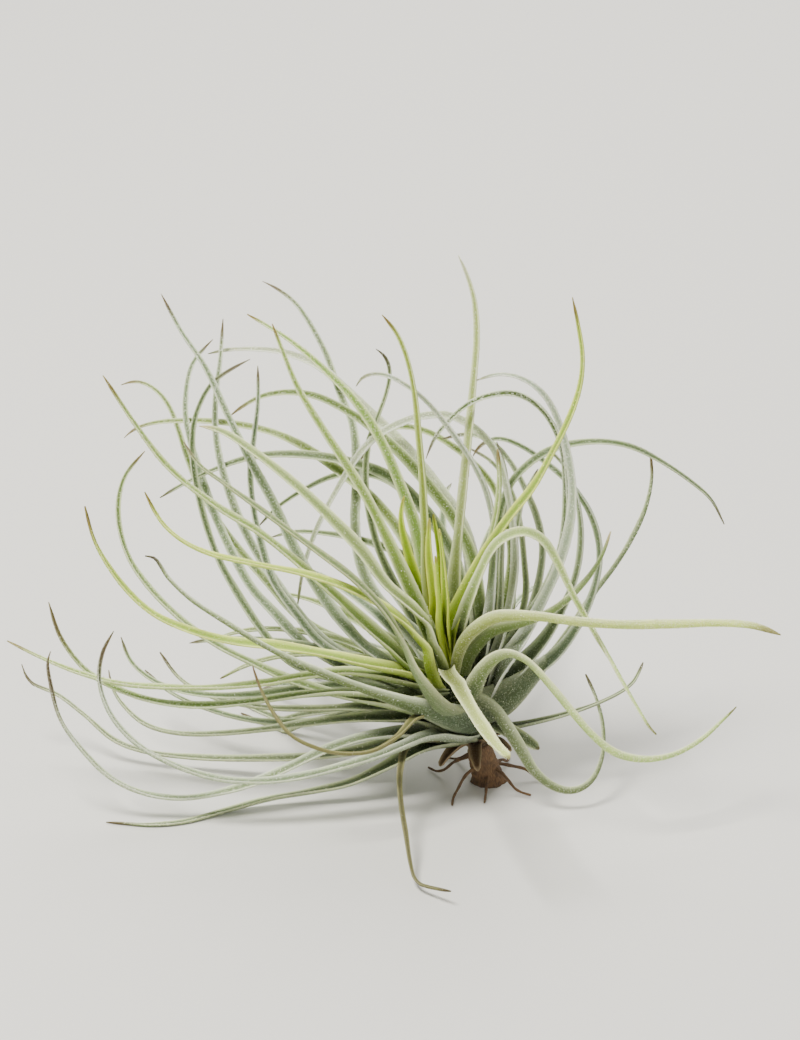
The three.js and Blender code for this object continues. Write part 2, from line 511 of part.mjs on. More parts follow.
// A part of the stem between two shares of its length, with the packed leaf bases round it.
function stemPart(from, to, swell = 0) {
  const length = STEM_BASE.distanceTo(HEART);
  const inset = (SEAT_GAP / 2 - swell) / length;
  const steps = BULB.map(([at]) => at).filter((at) => at > from && at < to);
  const shares = [from + inset, ...steps, to - inset];
  const section = (k) => ring(bulbRadius(shares[k]) + swell, STEM_SIDES);
  return sweep(shares.map(stemPlace), new THREE.Vector3(1, 0, 0), section);
}

function ring(radius, sides) {
  return Array.from({ length: sides }, (_, n) => {
    const turn = (2 * Math.PI * n) / sides;
    return [radius * Math.cos(turn), radius * Math.sin(turn)];
  });
}

function joined(solids) {
  return solids.slice(1).reduce((whole, solid) => whole.add(solid), solids[0]);
}

// The largest body of a solid. What a cut leaves loose is dropped.
function mainBody(solid) {
  return solid.decompose().reduce((most, body) => (body.volume() > most.volume() ? body : most));
}

// The triangles of a solid once the edges shorter than a sliver are closed up. Two triangles that then lie back
// to back are taken out together.
function withoutSlivers(vertices, triangles) {
  const stands = Array.from({ length: vertices.length / 3 }, (_, n) => n);
  const standFor = (n) => (stands[n] === n ? n : standFor(stands[n]));
  const places = stands.map((n) => new THREE.Vector3().fromArray(vertices, n * 3));
  for (let n = 0; n < triangles.length; n += 1) {
    const [a, b] = [triangles[n], triangles[n % 3 === 2 ? n - 2 : n + 1]];
    if (places[a].distanceTo(places[b]) < SLIVER) stands[standFor(a)] = standFor(b);
  }
  const kept = new Map();
  for (let n = 0; n < triangles.length; n += 3) {
    const corners = [standFor(triangles[n]), standFor(triangles[n + 1]), standFor(triangles[n + 2])];
    if (new Set(corners).size < 3) continue;
    const same = [...corners].sort((a, b) => a - b).join();
    if (kept.has(same)) kept.delete(same);
    else kept.set(same, corners);
  }
  return [...kept.values()].flat();
}

function meshOf(solid, name, finish) {
  const { vertProperties, triVerts } = solid.getMesh();
  const vertices = new Float32Array(vertProperties);
  const geometry = new THREE.BufferGeometry();
  geometry.setAttribute('position', new THREE.BufferAttribute(vertices, 3));
  geometry.setIndex(withoutSlivers(vertices, [...triVerts]));
  const mesh = new THREE.Mesh(geometry, new THREE.MeshStandardMaterial(finish));
  mesh.name = name;
  return mesh;
}

function plantLeaf(path, width) {
  const length = (path.length - 1) * SAMPLE_STEP;
  return { path, widths: path.map((_, k) => widthAt(width, k * SAMPLE_STEP, length)) };
}

// The leaves of one tier: its roots are spread along the tier's part of the stem, the outermost lowest.
function tierLeaves({ table, from, to, leave }) {
  const spread = table.map((each) => {
    const first = seen(each.path[0], each.path[1], each.toward[0]);
    return first.sub(stemPlace(to)).angleTo(AXIS);
  });
  const order = table.map((_, n) => n).sort((a, b) => spread[b] - spread[a]);
  return table.map((each, n) => {
    const rank = (order.indexOf(n) + 0.5) / table.length;
    return plantLeaf(seenPath(each, mix(from, to, mix(...ROOTED, rank)), radians(leave)), each.width);
  });
}

// Hidden leaves of one tier, turned round the back by the golden angle.
function hiddenLeaves({ count, from, to, lean, length, arc }, random) {
  return Array.from({ length: count }, (_, n) => {
    const turn = mix(...arc, ((n * GOLDEN_ANGLE) / 360) % 1);
    const start = lean[0] + LEAN_SPREAD[0] * random();
    const end = lean[1] + LEAN_SPREAD[1] * random();
    const rootShare = mix(from, to, random());
    const path = hiddenPath(rootShare, radians(turn), radians(start), radians(end), mix(...length, random()));
    return plantLeaf(path, HIDDEN_WIDTH);
  });
}

// The woody stub below the leaves, flat where it stands and knobbly above.
function stubSolid(random) {
  const top = stemPlace(STUB_TOP - SEAT_GAP / 2 / STEM_BASE.distanceTo(HEART));
  const tilt = new THREE.Quaternion().setFromUnitVectors(new THREE.Vector3(0, 0, 1), AXIS);
  const vertices = [];
  for (let k = 0; k <= STUB_RINGS; k += 1) {
    const share = k / STUB_RINGS;
    const place = new THREE.Vector3().lerp(top, share);
    const turn = new THREE.Quaternion().slerp(tilt, share);
    const knob = share > 0 && share < 1 ? STUB_KNOBS : 0;
    for (const [x, y] of ring(mix(FOOT_RADIUS, STEM_RADIUS, Math.sqrt(share)), STEM_SIDES)) {
      const fat = 1 + knob * (random() - 0.5);
      const corner = new THREE.Vector3(x * fat, y * fat, 0).applyQuaternion(turn).add(place);
      vertices.push(corner.x, corner.y, corner.z);
    }
  }
  return solidOf(vertices, tubeTriangles(STUB_RINGS + 1, STEM_SIDES));
}

// A wiry root that leaves the stub, droops and lies on the surface.
function rootSolid(n, random) {
  const turn = (2 * Math.PI * (n + 0.5 * random())) / ROOTS.count;
  const reach = mix(...ROOTS.reach, random());
  const height = mix(...ROOTS.height, random());
  const curl = 0.8 * (random() - 0.5);
  const places = [];
  for (let k = 0; k <= ROOTS.steps; k += 1) {
    const share = k / ROOTS.steps;
    const out = 1 + reach * share;
    const angle = turn + curl * share * share;
    const rise = Math.max(ROOTS.radius, height * (1 - ROOTS.droop * share * share));
    places.push(new THREE.Vector3(out * Math.cos(angle), out * Math.sin(angle), rise));
  }
  const thinned = (k) => ROOTS.radius * (1 - (0.3 * k) / ROOTS.steps);
  return sweep(places, new THREE.Vector3(0, 0, 1), (k) => ring(thinned(k), ROOTS.sides));
}

// The short dry leaf bases between the stub and the living leaves.
function dryBases(random) {
  const { count, from, to, length, width, lean } = DRY_BASES;
  return Array.from({ length: count }, (_, n) => {
    const turn = (2 * Math.PI * (n + 0.4 * random())) / count;
    const start = radians(lean[0] + LEAN_SPREAD[0] * random());
    const end = radians(lean[1] + LEAN_SPREAD[1] * random());
    const path = hiddenPath(mix(from, to, 0.5), turn, start, end, mix(...length, random()));
    return { path, widths: path.map((_, k) => mix(width, TIP_WIDTH, k / (path.length - 1))) };
  });
}

const FINISHES = {
  heart: { color: 0xa6b64e, roughness: 0.6, metalness: 0 },
  inner: { color: 0x93a85c, roughness: 0.65, metalness: 0 },
  outer: { color: 0x96a58a, roughness: 0.75, metalness: 0 },
  old: { color: 0x8b9480, roughness: 0.8, metalness: 0 },
  dry: { color: 0x8a7355, roughness: 0.9, metalness: 0 },
  stub: { color: 0x5f4b38, roughness: 0.9, metalness: 0 },
};

const random = seeded(SEED);
const tiers = TIERS.map((tier) => ({ ...tier, leaves: tierLeaves(tier) }));
for (const hidden of HIDDEN_LEAVES) {
  tiers.find(({ name }) => name === hidden.tier).leaves.push(...hiddenLeaves(hidden, random));
}
bendClear(tiers.flatMap(({ leaves }) => leaves));
const { from: dryFrom, to: dryTo } = DRY_BASES;
tiers.push({ name: 'dry_leaf_bases', finish: 'dry', from: dryFrom, to: dryTo, leaves: dryBases(random) });

// From the heart outwards, each tier leaves room for the tiers inside it.
const plant = new THREE.Group();
let room = null;
for (const { name, finish, from, to, leaves } of tiers) {
  const whole = joined([stemPart(from, to), ...leaves.map((each) => leafSolid(each))]);
  plant.add(meshOf(mainBody(room ? whole.subtract(room) : whole), name, FINISHES[finish]));
  const around = joined([stemPart(from, to, SEAT_GAP), ...leaves.map((each) => leafSolid(each, SEAT_GAP))]);
  room = room ? room.add(around) : around;
}
const roots = Array.from({ length: ROOTS.count }, (_, n) => rootSolid(n, random));
plant.add(meshOf(mainBody(joined([stubSolid(random), ...roots]).subtract(room)), 'stem_stub', FINISHES.stub));

export default plant;
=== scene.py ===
"""An air plant as it looks: channelled leaves with pale edges and silver scales, its stub and its roots."""

import logging
import math
from collections.abc import Iterator, Sequence
from dataclasses import KW_ONLY, dataclass, field
from enum import Enum
from itertools import combinations

import bpy
import mathutils
import numpy as np
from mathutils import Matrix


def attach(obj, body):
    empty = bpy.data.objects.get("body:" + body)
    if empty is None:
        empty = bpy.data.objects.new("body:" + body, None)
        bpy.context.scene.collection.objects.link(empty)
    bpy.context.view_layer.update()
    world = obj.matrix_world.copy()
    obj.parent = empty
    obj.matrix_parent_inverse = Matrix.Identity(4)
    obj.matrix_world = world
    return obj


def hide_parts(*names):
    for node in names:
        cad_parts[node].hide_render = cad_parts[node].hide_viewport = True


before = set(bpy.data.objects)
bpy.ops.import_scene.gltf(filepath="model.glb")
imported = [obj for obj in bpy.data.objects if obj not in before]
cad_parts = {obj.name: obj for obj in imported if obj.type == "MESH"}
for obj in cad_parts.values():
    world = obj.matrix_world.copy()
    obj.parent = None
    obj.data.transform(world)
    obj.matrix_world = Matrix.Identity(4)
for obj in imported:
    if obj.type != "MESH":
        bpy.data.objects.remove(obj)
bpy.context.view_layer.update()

logging.basicConfig(level=logging.INFO, format="%(message)s")
log = logging.getLogger("air_plant")

Array = np.ndarray
Pair = tuple[float, float]
Triple = tuple[float, float, float]
Four = tuple[float, float, float, float]
Colour = Four
Object, Material = bpy.types.Object, bpy.types.Material
Node, Socket = bpy.types.Node, bpy.types.NodeSocket

# Lengths below are in mm, and MM turns them into metres.
MM = 0.001
# The step between the samples of a leaf's path, and the height of a leaf's middle where it lies on the surface.
SAMPLE_STEP = 1.8
LIE_HEIGHT = 0.34
# How many places a smooth curve is worked out at from one of its points to the next.
CURVE_PARTS = 12
# The seeds of the random numbers for where things grow and for how they look.
PLACE_SEED, LOOK_SEED = 41, 77


def colour(code: str) -> Colour:
    """Turn a colour written as six hex digits into linear red, green, blue and alpha.

    Args:
        code: The colour as it looks on a screen.

    Returns:
        The linear colour.
    """
    shares = [int(code[k:k + 2], 16) / 255 for k in (0, 2, 4)]
    linear = [s / 12.92 if s <= 0.04045 else ((s + 0.055) / 1.055) ** 2.4 for s in shares]
    return (linear[0], linear[1], linear[2], 1.0)


def mix(start: Array | float, end: Array | float, share: Array | float) -> Array | float:
    """Go from start to end by a share."""
    return start + (end - start) * share


def smooth(values: Array | float, low: float, high: float) -> Array | float:
    """Rise smoothly from 0 at low to 1 at high."""
    share = np.clip((np.asarray(values) - low) / (high - low), 0.0, 1.0)
    return share * share * (3 - 2 * share)


def unit(vector: Array) -> Array:
    """Scale a vector to length one."""
    return vector / np.linalg.norm(vector)


def units(vectors: Array) -> Array:
    """Scale each row of vectors to length one."""
    return vectors / np.linalg.norm(vectors, axis=1)[:, None]


def dots(one: Array, other: Array) -> Array:
    """Multiply vectors pair by pair, over the last axis."""
    return np.einsum("...i,...i", one, other)


def wheel(count: int) -> Array:
    """Give even angles round a circle."""
    return np.linspace(0, 2 * math.pi, count, endpoint=False)


def spokes(side: Array, other: Array, turn: Array) -> Array:
    """Find the directions at some angles round one axis or several.

    Args:
        side: The direction at no turn, for each axis.
        other: The direction at a quarter turn, for each axis.
        turn: The angles.

    Returns:
        The directions, by axis and angle.
    """
    return side[..., None, :] * np.cos(turn)[:, None] + other[..., None, :] * np.sin(turn)[:, None]


def soften(depths: Array, first: int, last: int, rounds: int) -> None:
    """Even out some of a row of depths with their neighbours, in place.

    Args:
        depths: The row.
        first: The first that changes.
        last: The one after the last that changes.
        rounds: How many times.
    """
    for _ in range(rounds):
        before, after = depths[first - 1:last - 1], depths[first + 1:last + 1]
        depths[first:last] = before / 4 + depths[first:last] / 2 + after / 4


def even_curve(points: Array, step: float) -> Array:
    """Draw a smooth curve through points and sample it evenly.

    Args:
        points: The points, one a row.
        step: The wanted distance between samples.

    Returns:
        The samples, one a row.
    """
    padded = np.vstack([points[:1], points, points[-1:]])
    t = (np.arange(CURVE_PARTS) / CURVE_PARTS)[:, None]
    spans = [0.5 * (2 * b + (c - a) * t + (2 * a - 5 * b + 4 * c - d) * t ** 2
                    + (3 * b - a - 3 * c + d) * t ** 3)
             for a, b, c, d in zip(padded, padded[1:], padded[2:], padded[3:])]
    fine = np.vstack([*spans, points[-1:]])
    along = np.concatenate([[0.0], np.cumsum(np.linalg.norm(np.diff(fine, axis=0), axis=1))])
    count = max(2, int(along[-1] / step + 0.5))
    wanted = along[-1] * np.arange(count + 1) / count
    return np.stack([np.interp(wanted, along, column) for column in fine.T], axis=1)


def frames_along(places: Array, across: Array, twist: Array) -> tuple[Array, Array]:
    """Carry a frame along a path without letting it spin, and then turn it.

    Args:
        places: The path.
        across: The direction across the leaf at its root.
        twist: How far the frame is turned at each place, in radians.

    Returns:
        The directions across the leaf and out of its upper face.
    """
    headings = units(np.gradient(places, axis=0))
    sides = np.zeros_like(places)
    side = across
    for k, heading in enumerate(headings):
        side = unit(side - heading * (side @ heading))
        sides[k] = side
    faces = np.cross(headings, sides)
    cosine, sine = np.cos(twist)[:, None], np.sin(twist)[:, None]
    return sides * cosine + faces * sine, faces * cosine - sides * sine


def placed(name: str, data: bpy.types.ID) -> Object:
    """Make an object and put it in the scene.

    Args:
        name: The object's name.
        data: What it holds, such as a mesh.

    Returns:
        The object.
    """
    made = bpy.data.objects.new(name, data)
    bpy.context.scene.collection.objects.link(made)
    return made


class Draws:
    """A seeded source of even random numbers."""

    FACTOR = 1664525
    ADDED = 1013904223
    RANGE = 2 ** 32

    def __init__(self, seed: int) -> None:
        """Start the source at a seed."""
        self.state = seed

    def next(self) -> float:
        """Draw the next number from 0 to 1."""
        self.state = (self.state * self.FACTOR + self.ADDED) % self.RANGE
        return self.state / self.RANGE

    def between(self, low: float, high: float) -> float:
        """Draw a number between two others."""
        return mix(low, high, self.next())

    def phase(self) -> float:
        """Draw an angle of up to a full turn."""
        return 2 * math.pi * self.next()


@dataclass(frozen=True)
class Sight:
    """How leaf paths are read from the front: across and up from the heart, and towards the viewer."""

    rise: float = math.radians(25)
    distance: float = 600.0
    centre: Pair = (-7.5, 22.5)
    heart_height: float = 24.0
    foot: Pair = (7.5, 0.5)

    @property
    def toward(self) -> Array:
        """The direction to the viewer."""
        return np.array([0.0, -math.cos(self.rise), math.sin(self.rise)])

    @property
    def upward(self) -> Array:
        """The direction that the viewer sees as up."""
        return np.array([0.0, math.sin(self.rise), math.cos(self.rise)])

    @property
    def looked_at(self) -> Array:
        """The place at the middle of the view."""
        start = np.array([self.centre[0] - self.foot[0], -self.foot[1], self.heart_height])
        return start + self.upward * self.centre[1]

    def place(self, seen: Array) -> Array:
        """Find the places of seen points.

        Args:
            seen: Across, up and towards, in the last axis.

        Returns:
            The places in the plant's frame.
        """
        seen = np.asarray(seen, float)
        share = (self.distance - seen[..., 2:]) / self.distance
        sideways = (seen[..., :1] - self.centre[0]) * share * np.array([1.0, 0.0, 0.0])
        rising = (seen[..., 1:2] - self.centre[1]) * share * self.upward
        return self.looked_at + sideways + rising + seen[..., 2:] * self.toward

    def read(self, place: Array) -> Array:
        """Find how the viewer sees one place.

        Args:
            place: The place in the plant's frame.

        Returns:
            Across, up and towards.
        """
        offset = place - self.looked_at
        toward = float(offset @ self.toward)
        share = (self.distance - toward) / self.distance
        across = self.centre[0] + offset[0] / share
        return np.array([across, self.centre[1] + offset @ self.upward / share, toward])


SIGHT = Sight()


@dataclass(frozen=True)
class Stem:
    """The short stem that every leaf grows from, with the radii of the bulb of packed leaf bases round it."""

    base: Array = field(default_factory=lambda: SIGHT.place(np.array([5.0, -13.0, -5.5])))
    heart: Array = field(default_factory=lambda: SIGHT.place(np.array([0.5, -0.5, 3.2])))
    shares: tuple[float, ...] = (-0.16, -0.02, 0.2, 0.42, 0.62, 0.82, 0.97)
    radii: tuple[float, ...] = (1.9, 2.9, 4.2, 4.8, 4.3, 3.1, 2.0)

    @property
    def axis(self) -> Array:
        """The direction in which the stem grows."""
        return unit(self.heart - self.base)

    @property
    def side(self) -> Array:
        """The direction straight out of the stem that points most to the right."""
        return unit(np.array([1.0, 0.0, 0.0]) - self.axis * self.axis[0])

    def place(self, share: float) -> Array:
        """The middle of the stem at a share of its length."""
        return self.base + (self.heart - self.base) * share

    def radius(self, share: float) -> float:
        """The radius of the bulb at a share of the stem's length."""
        return float(np.interp(share, self.shares, self.radii))


STEM = Stem()


class Tone(Enum):
    """The colours of a leaf at its sheath, blade, tip and edge, and how thick its silver scales are. Most
    sheaths are darker than their blades, partly their own colour and partly painted shade where the leaf bases
    crowd together.
    """

    YOUNG = ("a8c008", "b8dc08", "a89c44", "f8ff74", 0.2)
    SPIRE = ("a4ac0c", "8a9c28", "7c5c28", "e8f4ac", 0.3)
    LIME = ("a0bc08", "98b438", "7c5c28", "f8ff88", 0.4)
    FRESH = ("8caa10", "b0cc40", "7c5c28", "f8ff98", 0.4)
    MINT = ("688c1c", "94b44c", "8c6c34", "fafecc", 0.7)
    GREEN = ("6c8828", "88a444", "8c7440", "f4fac4", 0.6)
    OLIVE = ("6c8030", "8ea25c", "d0c090", "f8fccc", 0.4)
    PALE = ("808f44", "c4d878", "8f8450", "fafdcc", 0.7)
    REED = ("667838", "a8b868", "d8d8b8", "fafdd4", 0.6)
    ARCH = ("4e6030", "b4c870", "7c7640", "f8fccc", 0.8)
    # FROST is pale partly from its dense silver scales and partly as a painted highlight of the light from
    # above on its arching top.
    FROST = ("54642c", "c0ccac", "a0a078", "fafcee", 1.1)
    SAGE = ("647638", "7c9246", "7c6440", "eaf2c4", 0.7)
    SILVER = ("647656", "80946a", "604424", "eef4dc", 0.9)
    SPECKLED = ("4e5e34", "4a6420", "6f5d46", "f2f8dc", 1.2)
    # SHADED is a sage tone darkened with painted shade, for leaves deep in the rosette and behind others.
    SHADED = ("4a5a34", "627648", "635440", "dae2bc", 0.5)
    HAZE = ("74825a", "96a47c", "6f6450", "e8ecd0", 0.8)
    OLD = ("56663e", "6e7e52", "584020", "e6ecc4", 0.75)
    BLUSH = ("6c8056", "788e54", "786549", "c4c69c", 0.6)
    TAN = ("56643a", "6e6c40", "6a5030", "a09a68", 0.3)
    DRY = ("6b5339", "94795a", "b39a78", "b8a484", 0.2)
    FUZZY = ("4c6440", "667c40", "3c2814", "eef6d4", 0.5)
    STRAND = ("5b5a3c", "6f6a40", "4e3d28", "8c8762", 0.4)

    @property
    def colours(self) -> list[Array]:
        """The linear colours of sheath, blade, tip and edge."""
        return [np.array(colour(code)[:3]) for code in self.value[:4]]

    @property
    def silver(self) -> float:
        """How thick the silver scales are."""
        return self.value[4]


@dataclass(frozen=True)
class LeafLook:
    """What one leaf is like.

    Its tone, width and sheath, how fast it narrows, its roll about its own length, how wide its blade is beside
    the plain solid's, and about what share of it is withered at the tip.
    """

    tone: Tone
    width: float
    _: KW_ONLY
    sheath: float | None = None
    taper: float = 0.8
    roll: float = 0.0
    slim: float = 1.0
    brown: float = 0.08


@dataclass(frozen=True)
class LeafRow(LeafLook):
    """A leaf read from the front.

    Its depth at its start, middle and tip, its path as pairs of across and up, and, where its base shows in the
    heart, the first points of that base as across, up and towards.
    """

    toward: Triple
    path: tuple[float, ...]
    _: KW_ONLY
    base: tuple[float, ...] = ()


# The youngest leaves, upright in the heart.
HEART_ROWS: tuple[LeafRow, ...] = (
    LeafRow(Tone.YOUNG, 1.7, (4, 7, 9), (-3, 7, -4.5, 11.5, -6, 16.5, -7.1, 21, -7.3, 24, -6.8, 26.5),
        sheath=3.4, taper=0.7, slim=1.3),
    LeafRow(Tone.YOUNG, 1.9, (5, 8, 10), (-1.3, 7, -2.2, 13, -2.7, 18, -2.6, 22.8), sheath=3.4, taper=0.7,
        roll=0.3, slim=1.2),
    LeafRow(Tone.YOUNG, 1.5, (3, 4, 4), (-0.4, 8, -0.6, 14, -1.2, 19, -2, 23.5), sheath=3.4, taper=0.7,
        slim=1.3),
    LeafRow(Tone.YOUNG, 1.5, (5, 9, 12), (0.3, 6, 0, 11, -0.4, 16, -1, 21), sheath=3.4, taper=0.7, roll=0.7,
        slim=1.2),
    LeafRow(Tone.YOUNG, 1.6, (6, 10, 13), (-0.9, 6, -1.4, 11, -1.7, 16.5), sheath=3.4, taper=0.7, roll=0.9,
        slim=1.2),
    LeafRow(Tone.SPIRE, 2.2, (5, 5, 0), (-2, 8, -3, 15, -3.3, 22, -3.7, 29, -4.3, 36, -5, 43, -6.2, 49,
        -8, 53.5, -10.5, 56.7)),
    LeafRow(Tone.REED, 2.6, (2, -2, -12), (1.5, 9, 2, 17, 2.8, 25, 3.5, 32, 4.2, 39, 4.8, 46, 5.3, 53,
        4.9, 59, 3.6, 63.5, 2.2, 66.6)),
    LeafRow(Tone.LIME, 2.4, (5, 6, 4), (2, 7.5, 4.3, 12.5, 7.3, 18, 11, 23.4, 14.8, 28.2, 18, 34, 20.8, 39.7,
        22.5, 45, 22.9, 50, 22.2, 55, 21.2, 59.6), sheath=3.4, roll=0.4, slim=0.9),
    LeafRow(Tone.MINT, 1.5, (2, 1, 2), (3, 7, 5, 13, 7.3, 18.8, 8.6, 24, 9, 29, 8.7, 34.3), sheath=3.4,
        taper=0.5, slim=1.25),
    LeafRow(Tone.MINT, 2.6, (6, 2, -4), (-4.5, 8, -7, 13.5, -10, 20, -13, 26, -17, 32.5, -20.5, 37.8,
        -24.5, 44.5, -27, 50.5, -28.8, 55.2)),
)

# The fresh leaves round the heart.
INNER_ROWS: tuple[LeafRow, ...] = (
    LeafRow(Tone.OLIVE, 2.4, (9, 1, -12), (-2.5, 5, -6, 8.5, -10, 12, -14, 17.5, -20, 23.8, -26, 29.3,
        -32, 34, -37, 37.2, -41, 38.2), sheath=2.2, taper=0.5, base=(0.2, -4.4, 1.5, -0.1, -2.7, 4.6,
        -0.65, -0.9, 7.2, -1.5, 1.1, 8.8, -2.4, 3.2, 9.6)),
    LeafRow(Tone.MINT, 2.5, (-3, -6, -15), (-1.8, 6, -3.2, 13, -4.8, 21, -7.5, 28.5, -11, 36.3, -15, 42.3,
        -20, 47.5, -25, 51.8, -29, 54.5, -33, 56.8)),
    LeafRow(Tone.FRESH, 2.4, (10, 8, 4), (-3, 1, -6.5, 5.3, -11, 8.6, -17, 11.5, -24, 13.7, -32, 15.3,
        -39, 16.9, -44, 19.3, -47.5, 22.6, -50, 27.2), sheath=2.2, base=(-0.6, -5.4, 0.5, -1.5, -4.8, 4.0,
        -2.2, -3.2, 7.0, -2.8, -1.0, 9.0)),
    LeafRow(Tone.GREEN, 2.6, (3, 3, 0), (-8, 0.5, -14, 6, -20, 11.5, -30, 19.8, -38, 24.8, -46, 31.2, -52, 39,
        -57, 46.6)),
    LeafRow(Tone.FRESH, 2.6, (7, 7, 6), (-6, -2.8, -12, -1.6, -20, 0.2, -28, 1.5, -36, 2.4, -43, 4.3,
        -49, 7.2, -54, 12, -58, 18.3, -60, 24.8), brown=0.14, base=(-1.5, -5.2, 0.5, -3.0, -4.3, 3.4,
        -4.5, -3.5, 5.6, -6.4, -2.8, 6.9, -9.0, -2.2, 7.2)),
    LeafRow(Tone.GREEN, 2.5, (4, 3, 0), (-8, -3.8, -16, -2.7, -23, -3.4, -30, -4.6, -38, -5.3, -46, -5.3,
        -54, -4.7, -61, -2.9, -67, -0.5, -73, 2.4), brown=0.14),
    LeafRow(Tone.SAGE, 2.4, (3, 1, 2), (-8, -6.7, -16, -6.1, -24, -6.6, -32, -7.7, -40, -8.4, -47, -7.9,
        -53.5, -6.1, -59.5, -2.8, -64, 2.8, -66, 8.8), brown=0.2),
    LeafRow(Tone.PALE, 2.4, (8, 12, 18), (2.2, 2.3, 5, 5, 9, 6.3, 15, 6.4, 22, 5.5, 30, 5, 38, 5.1, 45, 5.3,
        51, 4.9, 56, 3.4), sheath=1.1, taper=0.4, roll=-1.4, slim=1.05, base=(1.5, -4.4, 1.5, 1.7, -2.7, 4.4,
        1.95, -0.9, 6.6, 2.5, 0.9, 8.1, 3.6, 2.85, 8.8, 5.2, 4.4, 9.3, 6.9, 5.5, 9.7)),
    LeafRow(Tone.OLIVE, 2.2, (5, 1, -6), (4, 1.5, 7.5, 3.8, 11.5, 5, 15, 6, 18.5, 7.8, 21.5, 10.3, 24.3, 13.5,
        26.3, 17, 27.6, 20.6), sheath=3.4, roll=-1.3, slim=0.86, base=(2.1, -4.8, 1.0, 2.6, -3.2, 3.2,
        3.2, -1.5, 4.5, 4.3, 0.5, 4.9, 6.3, 2.7, 4.9)),
    LeafRow(Tone.PALE, 3, (9, 26, 42), (1.2, -3.2, 3.2, -7, 5.6, -11, 8.2, -14.7, 10.8, -17.2), sheath=2.3,
        taper=0.25, slim=0.77, base=(1.4, -3.9, 1.5, 0.8, -3.0, 4.2, 0.35, -2.35, 6.9, 0.35, -2.6, 9.2,
        0.85, -3.7, 11.2)),
    LeafRow(Tone.ARCH, 2, (5, 8, 12), (3.2, 7, 5.5, 13, 8.3, 18.3, 12.5, 20.6, 16.3, 19.2, 19, 15, 21.5, 9.8,
        24.5, 4.5, 27.7, -1.3, 31, -7.2, 33.8, -11.8, 35.2, -13.3), sheath=3.6, roll=0.6, slim=0.95),
)

